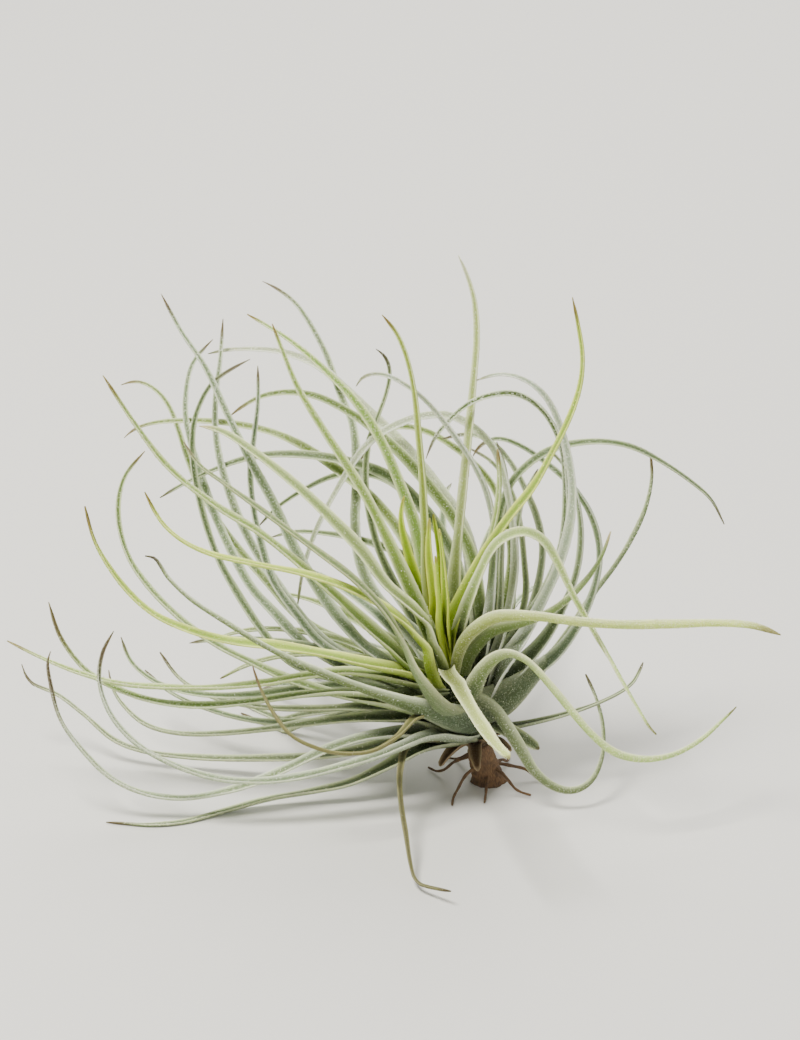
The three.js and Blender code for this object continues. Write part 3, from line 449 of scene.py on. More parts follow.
# The sage and silver leaves that arch up and over.
OUTER_ROWS: tuple[LeafRow, ...] = (
    LeafRow(Tone.SILVER, 2.6, (-1, -8, -22), (-10, -1, -14, 2, -18, 6.5, -21.5, 11.5, -25, 17.5, -28.5, 25,
        -32, 31.5, -36, 39.5, -40, 48, -44, 54, -47.3, 60.2)),
    LeafRow(Tone.SILVER, 2.4, (-3, -15, -34), (-12, -2.5, -17, 0, -21.5, 3.5, -26, 9, -30.5, 15.5,
        -33.8, 21.5, -36.3, 28, -38, 35, -38.3, 42, -37.5, 49, -37, 56)),
    LeafRow(Tone.SILVER, 2.2, (-2, -8, -14), (-11, -3, -16, -1, -21, 2.2, -25, 7, -28.5, 12, -30.3, 17,
        -31.8, 23.5, -32.5, 30, -31.9, 36, -31.2, 42, -31.2, 48.2)),
    LeafRow(Tone.SHADED, 2.3, (-2, -14, -26), (-12, -5, -20, -3.5, -26, -1, -30.5, 4, -34.5, 10, -38, 16.5,
        -40.5, 24, -42, 32, -41.8, 39, -39.3, 44.7, -36, 47.4, -32.5, 49.3)),
    LeafRow(Tone.SILVER, 2.5, (-3, -18, -34), (-12, -4, -18, -1.5, -24, 2.3, -28.5, 7, -32.5, 11.5, -36, 18,
        -38.8, 24.5, -41, 31, -43, 38, -43.2, 43.5, -42, 48.7, -38.7, 52.6)),
    LeafRow(Tone.SAGE, 2.3, (-4, -24, -42), (-10, -1, -17, 2, -24, 6, -30, 12.5, -35.5, 19, -40, 26,
        -42.8, 32.5, -44.6, 38, -46.2, 41.8, -48.5, 44.4, -51.3, 45.6, -54, 45)),
    LeafRow(Tone.SAGE, 2.4, (0, -6, -24), (-10, -8, -18, -6.5, -26, -4, -32, -1.3, -38, 1.7, -44, 6,
        -49.5, 11.5, -53, 17, -54.5, 23.5, -53.5, 29.5, -50, 34)),
    LeafRow(Tone.SAGE, 2.2, (-4, -18, -34), (-2, 8, -4, 14, -7.5, 20.5, -12, 26, -18, 31, -24, 35, -30, 37.5,
        -38, 38.9, -46, 39, -51, 38, -53.5, 36.2)),
    LeafRow(Tone.SILVER, 2.2, (-6, -20, -34), (-6, 4, -11, 9, -14, 15, -15, 22, -14.7, 30, -15.3, 38,
        -17.5, 43.5, -20, 50.5, -24, 57.5, -27.3, 60.6, -30.4, 62.3)),
    LeafRow(Tone.FROST, 2.8, (-6, -20, -34), (5, 8, 4.5, 16, 2.5, 22.5, -2, 29, -7, 35, -12, 40, -17.5, 45.3,
        -22, 48.7, -28, 50.7, -35, 51, -39.5, 50.2)),
    LeafRow(Tone.SAGE, 2.6, (-5, -12, -18), (5.5, 10, 4.5, 16.5, 1.5, 22.7, -2.5, 28, -7, 33.2, -11.5, 37.3,
        -16, 40.5, -21, 43, -25.5, 43.8, -30, 43.3, -33.5, 41.6, -36, 39.7)),
    LeafRow(Tone.SHADED, 2.6, (-6, -16, -22), (3, 9, 2, 15, -1, 21, -5, 26, -9, 29.5, -14, 31.7, -20, 33,
        -27, 33.5, -33, 32.8, -39, 30.7, -44, 28.3, -47.5, 26.2)),
    LeafRow(Tone.FROST, 2.3, (-2, -6, -16), (8, -1, 10.5, 7, 11.7, 15, 11.2, 23, 9.8, 30, 8, 34.7, 4.5, 38.2,
        0.5, 40, -4, 39.8, -8.5, 38.2, -12, 36, -15, 32.5, -17.5, 28.5, -20, 24, -22, 19.5, -23.7, 14,
        -24.6, 8), sheath=4.0, slim=0.8),
    LeafRow(Tone.SAGE, 2.2, (-5, -12, -20), (7.5, 2, 10, 9, 11, 17, 9.8, 24, 7.5, 29, 4, 32.7, 0, 35.7,
        -4, 37.6, -8, 38, -11, 36.5, -13.5, 33.7, -15, 30.5), sheath=4.0, slim=0.85),
    LeafRow(Tone.FROST, 1.9, (-2.4, 1, 0), (6.2, 0, 7.4, 7, 8, 13.5, 8.2, 20, 7.3, 26, 5.5, 30.5, 3.2, 34.3,
        0.3, 38.3, -3, 42.2, -6.5, 45, -10, 46.7, -13.2, 46.6, -14.8, 44.8)),
    LeafRow(Tone.SHADED, 1.6, (-6, -12, -12), (-4, 4, -8, 11, -11.5, 19, -13.2, 28, -12.8, 35, -11.5, 39,
        -10, 43, -9.2, 46.7, -9.8, 49.4, -11.5, 51)),
    LeafRow(Tone.BLUSH, 2.8, (11, 6, -8), (-3.5, -5, -5.2, -2, -6.7, 1.8, -10, 7.3, -15, 12.5, -20, 16.4,
        -26, 20.8, -32, 25.2, -37, 28.8, -41, 31.8, -43.5, 35.5), sheath=5.6, slim=0.85),
    LeafRow(Tone.SHADED, 2, (-6, -14, -20), (0, 9, -4, 14.5, -9, 17.6, -15, 19.4, -20, 20.3, -25, 20.6,
        -29, 19.6)),
    LeafRow(Tone.SHADED, 1.8, (-9, -20, -26), (2, 12, 0, 19, -4.5, 25, -9.5, 29, -14.5, 30.4, -19, 29.7,
        -23.5, 27.6, -28, 24.6, -31, 21.5)),
    LeafRow(Tone.FROST, 2.4, (0, 0, 1), (9, -2.5, 13, 3, 16.5, 9.5, 19, 15, 20.7, 21, 21.3, 27, 20.6, 33,
        19, 38.8, 16.6, 43.3, 13, 46, 9, 46.8, 5.2, 45.8), sheath=6.2, roll=0.4),
    LeafRow(Tone.SPECKLED, 1.9, (-3, -3, -3), (9.5, -0.5, 13.5, 5.5, 16.8, 11, 19, 17, 20, 23, 20, 29,
        19.4, 34.5, 17.6, 39, 14.8, 42.1, 11.5, 43.6, 7.5, 43.3, 3.8, 41.8, 0.6, 39, -1.8, 36, -3.2, 32.7)),
    LeafRow(Tone.SHADED, 2.2, (-5, -8, -18), (8, 5, 8.5, 14, 9, 22, 10.8, 28.2, 14.5, 32.3, 19, 34.7,
        25, 35.6, 30.5, 34.9, 35.5, 32.6, 40.5, 29.3, 44.5, 25.8, 46.6, 21.8), sheath=4.0, slim=0.78),
    LeafRow(Tone.SILVER, 2.3, (-7, -10, -12), (13, -4, 18.5, 0, 22.5, 5.5, 25, 11.5, 25.8, 17.5, 24.5, 23,
        21.5, 27.8, 17.5, 31.6, 13, 34.7, 9, 36.1, 6, 35, 4.5, 32.8)),
    LeafRow(Tone.SILVER, 2.2, (-4, -6, -10), (12, -2.5, 16.5, 2.5, 20, 8.5, 22, 14, 22.7, 20, 22, 26,
        20.3, 31, 17, 34.5)),
    LeafRow(Tone.HAZE, 2.3, (-7, -10, -14), (10.5, -0.5, 13.5, 5, 15.5, 11.5, 16.3, 17.5, 15.5, 22.5,
        13.5, 27.5, 11, 32, 8, 35.3, 4, 36.8, -0.5, 36), sheath=4.2, slim=0.8),
    LeafRow(Tone.HAZE, 2, (-4, -6, -8), (8.6, 3, 9.3, 9, 9.4, 15, 9.7, 21, 10.3, 26, 10, 31, 8.6, 35.5),
        sheath=3.4, slim=0.8),
    LeafRow(Tone.HAZE, 2.1, (-8, -10, -12), (10.2, 2.5, 11.2, 8.5, 11.4, 14.5, 12, 21, 13.2, 26.5, 15.5, 31),
        sheath=3.4, slim=0.8),
    LeafRow(Tone.HAZE, 2, (-10, -13, -16), (12, 4, 13.5, 10, 13.2, 16, 12.5, 22, 11, 27.5, 8, 32, 4, 34.5),
        sheath=3.4, slim=0.8),
    LeafRow(Tone.ARCH, 2.5, (9, 13, 5), (4, -6.2, 4.5, -2.5, 7.5, -0.1, 11, 0.3, 14.3, -1.3, 17.5, -5,
        21, -9.3, 24.5, -13.3, 28.3, -16.3, 33, -17.4, 38, -16.6, 42.5, -14.2, 46, -11, 48.5, -8.6),
        sheath=3.8, roll=-0.8, slim=0.96, base=(3.4, -8.4, -2.0, 4.0, -7.4, 2.0, 4.7, -5.7, 5.5,
        5.7, -3.6, 8.0, 7.3, -1.5, 9.4, 9.4, 0.0, 10.4)),
    LeafRow(Tone.OLD, 2.2, (3, 0, -6), (5.8, -7.4, 8, -8.8, 10.3, -12.2, 12.6, -15.8, 14.8, -19.3, 18, -21.9,
        21.5, -22.6, 24.5, -20.8, 26.1, -16.8, 26.2, -12, 25.2, -7.6, 23.4, -3.2), sheath=5.0, roll=-0.7,
        slim=0.86),
)

# The lowest leaves and the dull strand.
OLD_ROWS: tuple[LeafRow, ...] = (
    LeafRow(Tone.FUZZY, 2.4, (8, 12, 8), (-4, -9, -10, -7, -17, -4.4, -24, -1.5, -31, 2.2, -37, 5.9,
        -42.5, 9.6, -46.3, 13.3, -48, 16, -50, 16.6), sheath=5.6, taper=0.7, roll=0.8, base=(4.6, -11.6, -1.5,
        2.4, -11.0, 2.6, -0.7, -10.0, 6.4, -4.0, -8.9, 8.0)),
    LeafRow(Tone.OLD, 2.2, (-1, -4, -8), (-6, -10.3, -13, -10.4, -21, -11.1, -29, -12.2, -37, -13, -44, -13,
        -49.5, -11.7, -53, -9, -55.2, -5.8, -56, -2.5)),
    LeafRow(Tone.OLD, 2.2, (-4, -12, -18), (-6, -13.8, -14, -15.8, -22, -16.9, -31, -17.2, -40, -17.1,
        -49, -16.2, -55, -14.2, -60, -10, -64.5, -6.6, -69, -4.5, -70.5, -1.5)),
    LeafRow(Tone.SILVER, 2.6, (3, 7, 6), (-4, -13.8, -10, -16.3, -17, -18.5, -24, -20.2, -31, -21, -38, -20.5,
        -45, -18.3, -51, -15, -55.3, -10.5, -57.5, -5, -57.2, 0, -55.2, 4), sheath=5.0, brown=0.16),
    LeafRow(Tone.SILVER, 2.2, (1, 3, 5), (-8, -12.9, -14, -13.8, -20, -15.8, -26, -18.7, -32, -21.3, -38, -23,
        -44, -23.8, -50, -23, -55.5, -20.5, -60, -16.3, -64, -10.7, -65.8, -4.5, -66.2, -1, -65.7, 0.6),
        sheath=4.6, brown=0.25),
    LeafRow(Tone.TAN, 1.3, (9, 16, 18), (-5.5, -10.8, -8, -13.5, -12, -15.8, -16.5, -16.3, -21, -15.5,
        -25.5, -13.3, -28.5, -9.6, -30.5, -5.8, -32, -1.8), sheath=2.6),
    LeafRow(Tone.OLD, 2.4, (-3, -1, 3), (-5, -15.8, -10, -18.6, -16, -21.3, -22, -22.6, -29, -23.8,
        -36, -25.7, -43, -27.6, -49, -28.2, -54, -27.9, -56.5, -27.8), sheath=4.6, brown=0.16),
    LeafRow(Tone.STRAND, 1.1, (3, 16, 28), (-6.8, -15.8, -7.6, -20, -7.3, -25, -6.5, -30, -5.8, -34.5,
        -4.8, -37.6, -2.5, -38.6, 1, -39.3), sheath=1.6),
    LeafRow(Tone.OLD, 2.4, (-2, -1, 0), (7.5, -10.6, 10.5, -12.6, 13.3, -14, 15.7, -15.7), sheath=4.0,
        taper=0.5, slim=0.8),
    LeafRow(Tone.SHADED, 1, (-4, -4, -6), (9, -12.2, 14, -11.3, 19, -10.1, 24, -8.5, 28.5, -6.5, 31.3, -4.5,
        33, -1.2), sheath=2.0),
    LeafRow(Tone.OLD, 2.2, (-8, -14, -20), (11, -5.5, 16.5, -1.5, 20.5, 4, 24.5, 10, 28, 14.6, 31, 19.3,
        33.3, 24.3, 34.4, 29.5, 34.2, 33.8), sheath=8.5, roll=-1.3, base=(3.4, -10.8, -3.0, 6.4, -9.4, 0.6,
        9.8, -7.6, 0.8, 13.2, -4.9, -2.6, 16.2, -1.9, -6.6)),
    LeafRow(Tone.SHADED, 2.2, (-6, -14, -24), (-10, -9.5, -18, -10.8, -26, -11.3, -33, -10.7, -40, -8.8,
        -46, -6, -50, -2.5)),
    LeafRow(Tone.SHADED, 2.2, (-7, -10, -16), (-8, -5.3, -16, -4.9, -24, -5.6, -32, -6.6, -40, -6.6, -47, -5,
        -52, -1.5, -54, 3)),
    LeafRow(Tone.OLD, 2.2, (-3, -9, -18), (-7, -8.4, -14, -8.6, -22, -8.9, -30, -8.7, -38, -7.2, -44, -4,
        -47.5, 0.5)),
)

# The tip of the plain solid, how fast it narrows, and the width and length of its sheath.
SOLID_TIP, SOLID_TAPER = 0.75, 0.8
SOLID_SHEATH, SOLID_SHEATH_LENGTH = 3.1, 11.0
# How much a leaf above the heart tilts towards the viewer, and over what height the tilt sets in.
TILT, TILT_HEIGHT = 0.4, 8.0
# How many samples a drift moves and how it fades, and over how many a new base is joined and evened out.
DRIFT_SAMPLES, DRIFT_FADE = 8, 0.7
BASE_SAMPLES, BASE_ROUNDS = 16, 6
# How far in degrees a lean that is drawn may grow, at the start and at the tip.
LEAN_PLAY = (12, 25)


@dataclass
class Leaf:
    """One leaf: its path as it is seen, sampled evenly from its root, its look and the width of its sheath."""

    path: Array
    look: LeafLook
    sheath: float

    def solid_widths(self) -> Array:
        """Find the widths of the plain solid, which decide how leaves are bent clear of each other.

        Returns:
            The width at each sample.
        """
        along = np.arange(len(self.path)) * SAMPLE_STEP
        blade = SOLID_TIP + (self.look.width - SOLID_TIP) * (1 - along / along[-1]) ** SOLID_TAPER
        return blade + (SOLID_SHEATH - self.look.width) * np.maximum(0, 1 - along / SOLID_SHEATH_LENGTH) ** 2

    def drift(self, shift: Pair) -> None:
        """Move the leaf's first millimetres, less and less along it.

        Args:
            shift: How far across and up, as seen.
        """
        near = min(DRIFT_SAMPLES, len(self.path))
        fade = np.linspace(1, 0, DRIFT_SAMPLES)[:near, None] ** DRIFT_FADE
        self.path[:near, :2] += np.array(shift) * fade

    def rebase(self, points: Array) -> None:
        """Run the leaf's base through other points and even out its depth.

        Args:
            points: The points as seen, one a row.
        """
        joined = np.linalg.norm(self.path[:BASE_SAMPLES] - points[-1], axis=1).argmin() + 1
        self.path = even_curve(np.vstack([points, self.path[joined:]]), SAMPLE_STEP)
        soften(self.path[:, 2], 1, BASE_SAMPLES + 1, BASE_ROUNDS)


def base_path(root: Array, first: Array, second: Array, lean: float) -> Array:
    """Run a leaf's base from its root inside the stem to the place where it is first seen.

    Args:
        root: The root's place.
        first: Where the leaf is first seen.
        second: The next place on it.
        lean: The angle at which its sheath leaves the stem.

    Returns:
        The base as seen, without its end.
    """
    reach = np.linalg.norm(first - root) / 3
    outward = first - root
    outward = unit(outward - STEM.axis * (outward @ STEM.axis))
    leave = STEM.axis * math.cos(lean) + outward * math.sin(lean)
    corners = (root, root + leave * reach, first - unit(second - first) * reach, first)
    t = np.arange(4)[:, None] / 4
    curve = ((1 - t) ** 3 * corners[0] + 3 * (1 - t) ** 2 * t * corners[1]
             + 3 * (1 - t) * t ** 2 * corners[2] + t ** 3 * corners[3])
    return np.array([SIGHT.read(place) for place in curve])


def seen_path(row: LeafRow, root: Array, lean: float) -> Array:
    """Give a leaf read from the front its path.

    Args:
        row: The leaf.
        root: The place of its root, inside the stem.
        lean: The angle at which its sheath leaves the stem.

    Returns:
        The path as seen, at even steps.
    """
    flat = even_curve(np.array(row.path).reshape(-1, 2), SAMPLE_STEP)
    share = np.linspace(0, 1, len(flat))
    start, middle, tip = row.toward
    depth = start + (4 * middle - 3 * start - tip) * share + (2 * start + 2 * tip - 4 * middle) * share ** 2
    rise = np.maximum(flat[:, 1], 0)
    shown = np.column_stack([flat, depth + TILT * rise ** 2 / (rise + TILT_HEIGHT)])
    base = base_path(root, *SIGHT.place(shown[:2]), lean)
    return even_curve(np.vstack([base, shown]), SAMPLE_STEP)


def hidden_path(root: Array, turn: float, leans: Sequence[float], length: float) -> Array:
    """Give a hidden leaf its path: it leaves the stem at one lean and arches to another.

    Args:
        root: The place of its root.
        turn: The angle round the stem, from the back.
        leans: The lean from the stem's axis at the start and at the tip.
        length: The leaf's length.

    Returns:
        The path as seen, at even steps.
    """
    outward = np.cross(STEM.axis, STEM.side) * math.cos(turn) + STEM.side * math.sin(turn)
    steps = int(length / SAMPLE_STEP + 0.5)
    place, points = root, [SIGHT.read(root)]
    for k in range(steps):
        lean = mix(*leans, k / steps)
        place = place + (STEM.axis * math.cos(lean) + outward * math.sin(lean)) * SAMPLE_STEP
        place[2] = max(place[2], LIE_HEIGHT)
        points.append(SIGHT.read(place))
    return np.array(points)


def drawn_leans(leans: Pair, draws: Draws) -> list[float]:
    """Draw a leaf's lean at its start and at its tip, in radians, from the least of each in degrees."""
    return [math.radians(lean + play * draws.next()) for lean, play in zip(leans, LEAN_PLAY)]


@dataclass(frozen=True)
class HiddenRule:
    """Leaves that the front ones hide, placed round the back by the golden angle.

    Their least lean at the start and at the tip, and the arc that they fill, counted from the back, are in
    degrees.
    """

    count: int
    part: Pair
    lean: Pair
    length: Pair
    arc: Pair
    tones: tuple[Tone, ...]
    width: float = 2.3
    sheath: float = 5.2
    golden_angle: float = 137.5

    def leaves(self, draws: Draws) -> list[Leaf]:
        """Plant the leaves.

        Args:
            draws: The random numbers.

        Returns:
            The planted leaves.
        """
        made = []
        for n in range(self.count):
            turn = mix(*self.arc, (n * self.golden_angle / 360) % 1)
            leans = drawn_leans(self.lean, draws)
            root = STEM.place(draws.between(*self.part))
            path = hidden_path(root, math.radians(turn), leans, draws.between(*self.length))
            made.append(Leaf(path, LeafLook(self.tones[n % len(self.tones)], self.width), self.sheath))
        return made


@dataclass(frozen=True)
class Clearance:
    """How leaves are bent clear of each other, towards or away from the viewer.

    The gap that they keep, how near their roots they may touch, where a leaf begins to bend and how soon it
    gives way, how far along it a push reaches, and what share of the missing depth a push is.
    """

    gap: float = 0.5
    crowded: float = 9.0
    stiff: float = 4.5
    give: float = 7.0
    reach: float = 12.0
    rounds: int = 80
    push: float = 0.25

    def meetings(self, one: Leaf, other: Leaf) -> Iterator[tuple[Array, Array, Array, bool]]:
        """Find where two leaves pass within reach of each other as they are seen.

        Args:
            one: A leaf.
            other: Another leaf.

        Yields:
            Samples on the one, samples on the other, the depth that they need between them, and whether the
            one is in front.
        """
        apart = np.linalg.norm(one.path[:, None, :2] - other.path[None, :, :2], axis=2)
        nearest, least = apart.argmin(axis=1), apart.min(axis=1)
        reach = (one.solid_widths() + other.solid_widths()[nearest]) / 2 + self.gap
        free = (np.arange(len(nearest)) * SAMPLE_STEP > self.crowded) & (nearest * SAMPLE_STEP > self.crowded)
        near = ((least < reach) & free).astype(int)
        edges = np.flatnonzero(np.diff(np.concatenate([[0], near, [0]])))
        for begin, end in zip(edges[::2], edges[1::2]):
            run = np.arange(begin, end)
            closest = run[least[run].argmin()]
            ahead = one.path[closest, 2] >= other.path[nearest[closest], 2]
            yield run, nearest[run], np.sqrt(reach[run] ** 2 - least[run] ** 2), ahead

    def pairs(self, leaves: Sequence[Leaf], longest: int) -> Array:
        """List every place where leaves meet.

        Args:
            leaves: All leaves.
            longest: The number of samples that each leaf has room for.

        Returns:
            Rows of front sample, rear sample and the depth that they need between them.
        """
        rows = []
        for i, j in combinations(range(len(leaves)), 2):
            for mine, theirs, need, ahead in self.meetings(leaves[i], leaves[j]):
                mine, theirs = i * longest + mine, j * longest + theirs
                rows.append(np.column_stack([mine, theirs, need] if ahead else [theirs, mine, need]))
        return np.vstack(rows)

    def spread(self, pushes: Array) -> Array:
        """Let each push fade out along its leaf.

        Args:
            pushes: The pushes, with the samples of a leaf in the last axis.

        Returns:
            The greatest faded push at each sample.
        """
        longest = pushes.shape[-1]
        reach = int(self.reach / SAMPLE_STEP + 0.5)
        moved = np.zeros_like(pushes)
        for near in range(-reach, reach + 1):
            fade = 0.5 + 0.5 * math.cos(math.pi * near / (reach + 1))
            to, of = slice(max(0, -near), longest - max(0, near)), slice(max(0, near), longest - max(0, -near))
            moved[..., to] = np.maximum(moved[..., to], pushes[..., of] * fade)
        return moved

    def bend(self, leaves: Sequence[Leaf]) -> None:
        """Bend the leaves until none meets another past the crowded sheaths, and none goes below the surface.

        Args:
            leaves: All leaves.
        """
        longest = max(len(leaf.path) for leaf in leaves)
        pairs = self.pairs(leaves, longest)
        front, rear, need = pairs[:, 0].astype(int), pairs[:, 1].astype(int), pairs[:, 2]
        seen = np.zeros((len(leaves), longest, 3))
        inside = np.zeros((len(leaves), longest), bool)
        for n, leaf in enumerate(leaves):
            seen[n, :len(leaf.path)] = leaf.path
            inside[n, :len(leaf.path)] = True
        free = np.clip((np.arange(longest) * SAMPLE_STEP - self.stiff) / self.give, 0, 1)
        for _ in range(self.rounds):
            flat = seen[..., 2].ravel()
            push = np.maximum(need - (flat[front] - flat[rear]), 0) * self.push
            pushes = np.zeros((2, flat.size))
            np.maximum.at(pushes[0], front, push)
            np.maximum.at(pushes[1], rear, push)
            forward, backward = self.spread(pushes.reshape(2, *inside.shape))
            seen[..., 2] += (forward - backward) * free
            below = np.maximum(0, LIE_HEIGHT - SIGHT.place(seen)[..., 2])
            seen[..., 2] += np.where(inside, below / math.sin(SIGHT.rise), 0)
        for n, leaf in enumerate(leaves):
            leaf.path = seen[n, :len(leaf.path)].copy()


# The values of a shell's corners that are vectors; the others are numbers.
VECTORS = ("tint", "rime")


@dataclass
class Shell:
    """A mesh in the making: closed tubes with values at their corners."""

    vertices: list[Array] = field(default_factory=list)
    faces: list[list[int]] = field(default_factory=list)
    values: dict[str, list[Array]] = field(default_factory=dict)
    count: int = 0

    def add_tube(self, rings: Array, values: dict[str, Array | float], clockwise: bool = False) -> None:
        """Add a closed tube with its faces outwards.

        Args:
            rings: The corners, as rings by corners by three.
            values: Values by name, each for all corners, by ring or by corner.
            clockwise: Whether the corners run clockwise, as seen from the tube's far end.
        """
        total, corners = rings.shape[:2]
        self.vertices.append(np.vstack([rings.reshape(-1, 3), rings[0].mean(axis=0), rings[-1].mean(axis=0)]))
        for name, value in values.items():
            full = np.broadcast_to(value, rings.shape if name in VECTORS else rings.shape[:2])
            full = full.reshape(total, corners, -1)
            caps = [full[0].mean(axis=0), full[-1].mean(axis=0)]
            self.values.setdefault(name, []).append(np.vstack([full.reshape(total * corners, -1), *caps]))
        ring, corner = np.meshgrid(np.arange(total - 1), np.arange(corners), indexing="ij")
        a, b = ring * corners + corner, ring * corners + (corner + 1) % corners
        walls = np.stack([a, b, b + corners, a + corners], axis=-1).reshape(-1, 4)
        n, following = np.arange(corners), (np.arange(corners) + 1) % corners
        last, middle = (total - 1) * corners, np.full(corners, total * corners)
        caps = np.vstack([np.column_stack([following, n, middle]),
                          np.column_stack([last + n, last + following, middle + 1])])
        if clockwise:
            walls, caps = walls[:, ::-1], caps[:, [1, 0, 2]]
        self.faces += (walls + self.count).tolist() + (caps + self.count).tolist()
        self.count += total * corners + 2

    def piece(self, name: str, material: Material) -> Object:
        """Make the mesh object.

        Args:
            name: The piece's name.
            material: Its material.

        Returns:
            The object, in metres, with its values as attributes.
        """
        vertices = np.vstack(self.vertices) * MM
        vertices[:, 2] = np.maximum(vertices[:, 2], 0)
        mesh = bpy.data.meshes.new(name)
        mesh.from_pydata(vertices.tolist(), [], self.faces)
        for value_name, parts in self.values.items():
            kind, slot = ("FLOAT_VECTOR", "vector") if value_name in VECTORS else ("FLOAT", "value")
            layer = mesh.attributes.new(value_name, kind, "POINT")
            layer.data.foreach_set(slot, np.vstack(parts).ravel())
        mesh.polygons.foreach_set("use_smooth", [True] * len(mesh.polygons))
        mesh.materials.append(material)
        mesh.validate()
        return placed(name, mesh)


@dataclass(frozen=True)
class Facing:
    """How a leaf is turned about its length until its upper face looks at the stem and along it.

    Near the stem's axis the leaf's main direction out of the stem stands in for the place's own. Turns count
    where they are clear, and they are blurred along the leaf.
    """

    main_share: float = 0.35
    main_more: int = 3
    main_within: float = 6.0
    clear: float = 0.55
    backward: float = -0.75
    near: float = 1.0
    blur: float = 5.0
    reach: float = 12.0

    def turns(self, places: Array, sides: Array, faces: Array, step: float) -> Array:
        """Find how far a carried frame has to turn.

        Args:
            places: The path.
            sides: The directions across the leaf.
            faces: The directions out of its upper face.
            step: The distance between places.

        Returns:
            The turn at each place, in radians.
        """
        offset = places - STEM.base
        radial = offset - (offset @ STEM.axis)[:, None] * STEM.axis
        main = unit(radial[min(len(places) - 1, int(len(places) * self.main_share) + self.main_more)])
        far = np.linalg.norm(radial, axis=1)
        wanted = STEM.axis - units(radial + main * np.maximum(0, self.main_within - far)[:, None])
        ahead, aside = dots(wanted, faces), dots(wanted, sides)
        turns = np.unwrap(np.arctan2(-aside, ahead))
        onward = np.cross(sides, faces) @ STEM.axis > self.backward
        known = np.flatnonzero((np.hypot(ahead, aside) > self.clear) & onward & (far > self.near))
        if not len(known):
            return np.full(len(places), turns[len(turns) // 3])
        turns = np.interp(np.arange(len(turns)), known, np.unwrap(turns[known]))
        reach = int(self.reach / step)
        window = np.exp(-(np.arange(-reach, reach + 1) * step / self.blur) ** 2)
        return np.convolve(np.pad(turns, reach, mode="edge"), window / window.sum(), "valid")


@dataclass(frozen=True)
class LeafPaint:
    """How a leaf's tones, its withered tip and its silver scales lie along it and across it.

    A span is where something begins and ends, as a distance from the root. The rim is the pale edge, and the
    channel is the middle of the upper face, darkened with painted shade as if shaded in its groove. The tint is
    also darkened near the root with painted shade where the bases crowd, and brightens towards the tip.
    """

    light: Pair = (0.9, 0.22)
    warmth: float = 0.12
    blade_span: Pair = (6, 26)
    # Painted shade: the tint starts darker at the root and brightens along the leaf, over two spans.
    painted_root_shade: Triple = (0.62, 0.24, 0.34)
    painted_root_shade_spans: tuple[Pair, Pair] = ((3, 14), (8, 55))
    wither_share: float = 0.75
    withered: float = 0.95
    rim_power: float = 2.6
    rim_span: Pair = (4, 20)
    rim_root: float = 0.5
    rim_withered: float = 0.85
    channel_width: float = 0.6
    channel_power: int = 4
    # How much the channel is darkened with painted shade.
    channel_painted_shade: float = 0.3
    upper_silver: float = 0.65
    root_silver: float = 0.4
    silver_span: Pair = (15, 65)
    silver_withered: float = 0.75
    fuzz: Pair = (0.3, 0.9)
    fuzz_power: int = 5
    fuzz_span: Pair = (5, 12)

    def values(self, look: LeafLook, along: Array, spots: Array, raised: Array,
               draws: Draws) -> dict[str, Array]:
        """Find the tint and the other values at each corner of a leaf.

        Args:
            look: What the leaf is like.
            along: The distance from the root, by ring.
            spots: Where each corner is across the leaf, from -1 to 1.
            raised: Above 0 on the upper face, below 0 on the lower face.
            draws: The random numbers.

        Returns:
            Values by name.
        """
        sheath, blade, tip, edge = look.tone.colours
        light = self.light[0] + self.light[1] * draws.next()
        warm = self.warmth * (draws.next() - 0.5)
        tip_start = 1 - look.brown * (1.5 - draws.next())
        withered = smooth(along / along[-1], tip_start, mix(tip_start, 1.0, self.wither_share))[:, None]
        # Painted shade: darker near the root, where the bases crowd into the rosette, brightening towards the
        # tip.
        rises = [rise * smooth(along, *span) for rise, span in zip(self.painted_root_shade[1:], self.painted_root_shade_spans)]
        painted_root_shade = self.painted_root_shade[0] + rises[0] + rises[1]
        tint = mix(sheath, blade, smooth(along[:, None], *self.blade_span))
        tint = tint * painted_root_shade[:, None] * light * np.array([1 + warm, 1, 1 - warm])
        tint = (tint + (tip - tint) * withered * self.withered)[:, None]
        rim = np.abs(spots) ** self.rim_power * (1 - self.rim_withered * withered)
        rise = mix(self.rim_root, 1, smooth(along, *self.rim_span))
        tint = tint + (edge - tint) * rim[..., None] * rise[:, None, None]
        # Painted shade in the channel: the middle of the upper face is darkened as if shaded in its groove.
        channel = np.exp(-(spots / self.channel_width) ** self.channel_power) * (raised > 0)
        tint *= 1 - self.channel_painted_shade * channel[:, None]
        silver = look.tone.silver * mix(self.upper_silver, 1, raised <= 0)
        silver = silver * (self.root_silver + smooth(along, *self.silver_span))[:, None]
        silver = silver * (1 - self.silver_withered * withered)
        fuzz = silver * (self.fuzz[0] + self.fuzz[1] * np.abs(spots) ** self.fuzz_power)
        fuzz = fuzz * smooth(along, *self.fuzz_span)[:, None]
        return {"tint": tint, "rime": edge, "silver": silver, "fuzz": fuzz, "across": spots,
                "along": along[:, None]}


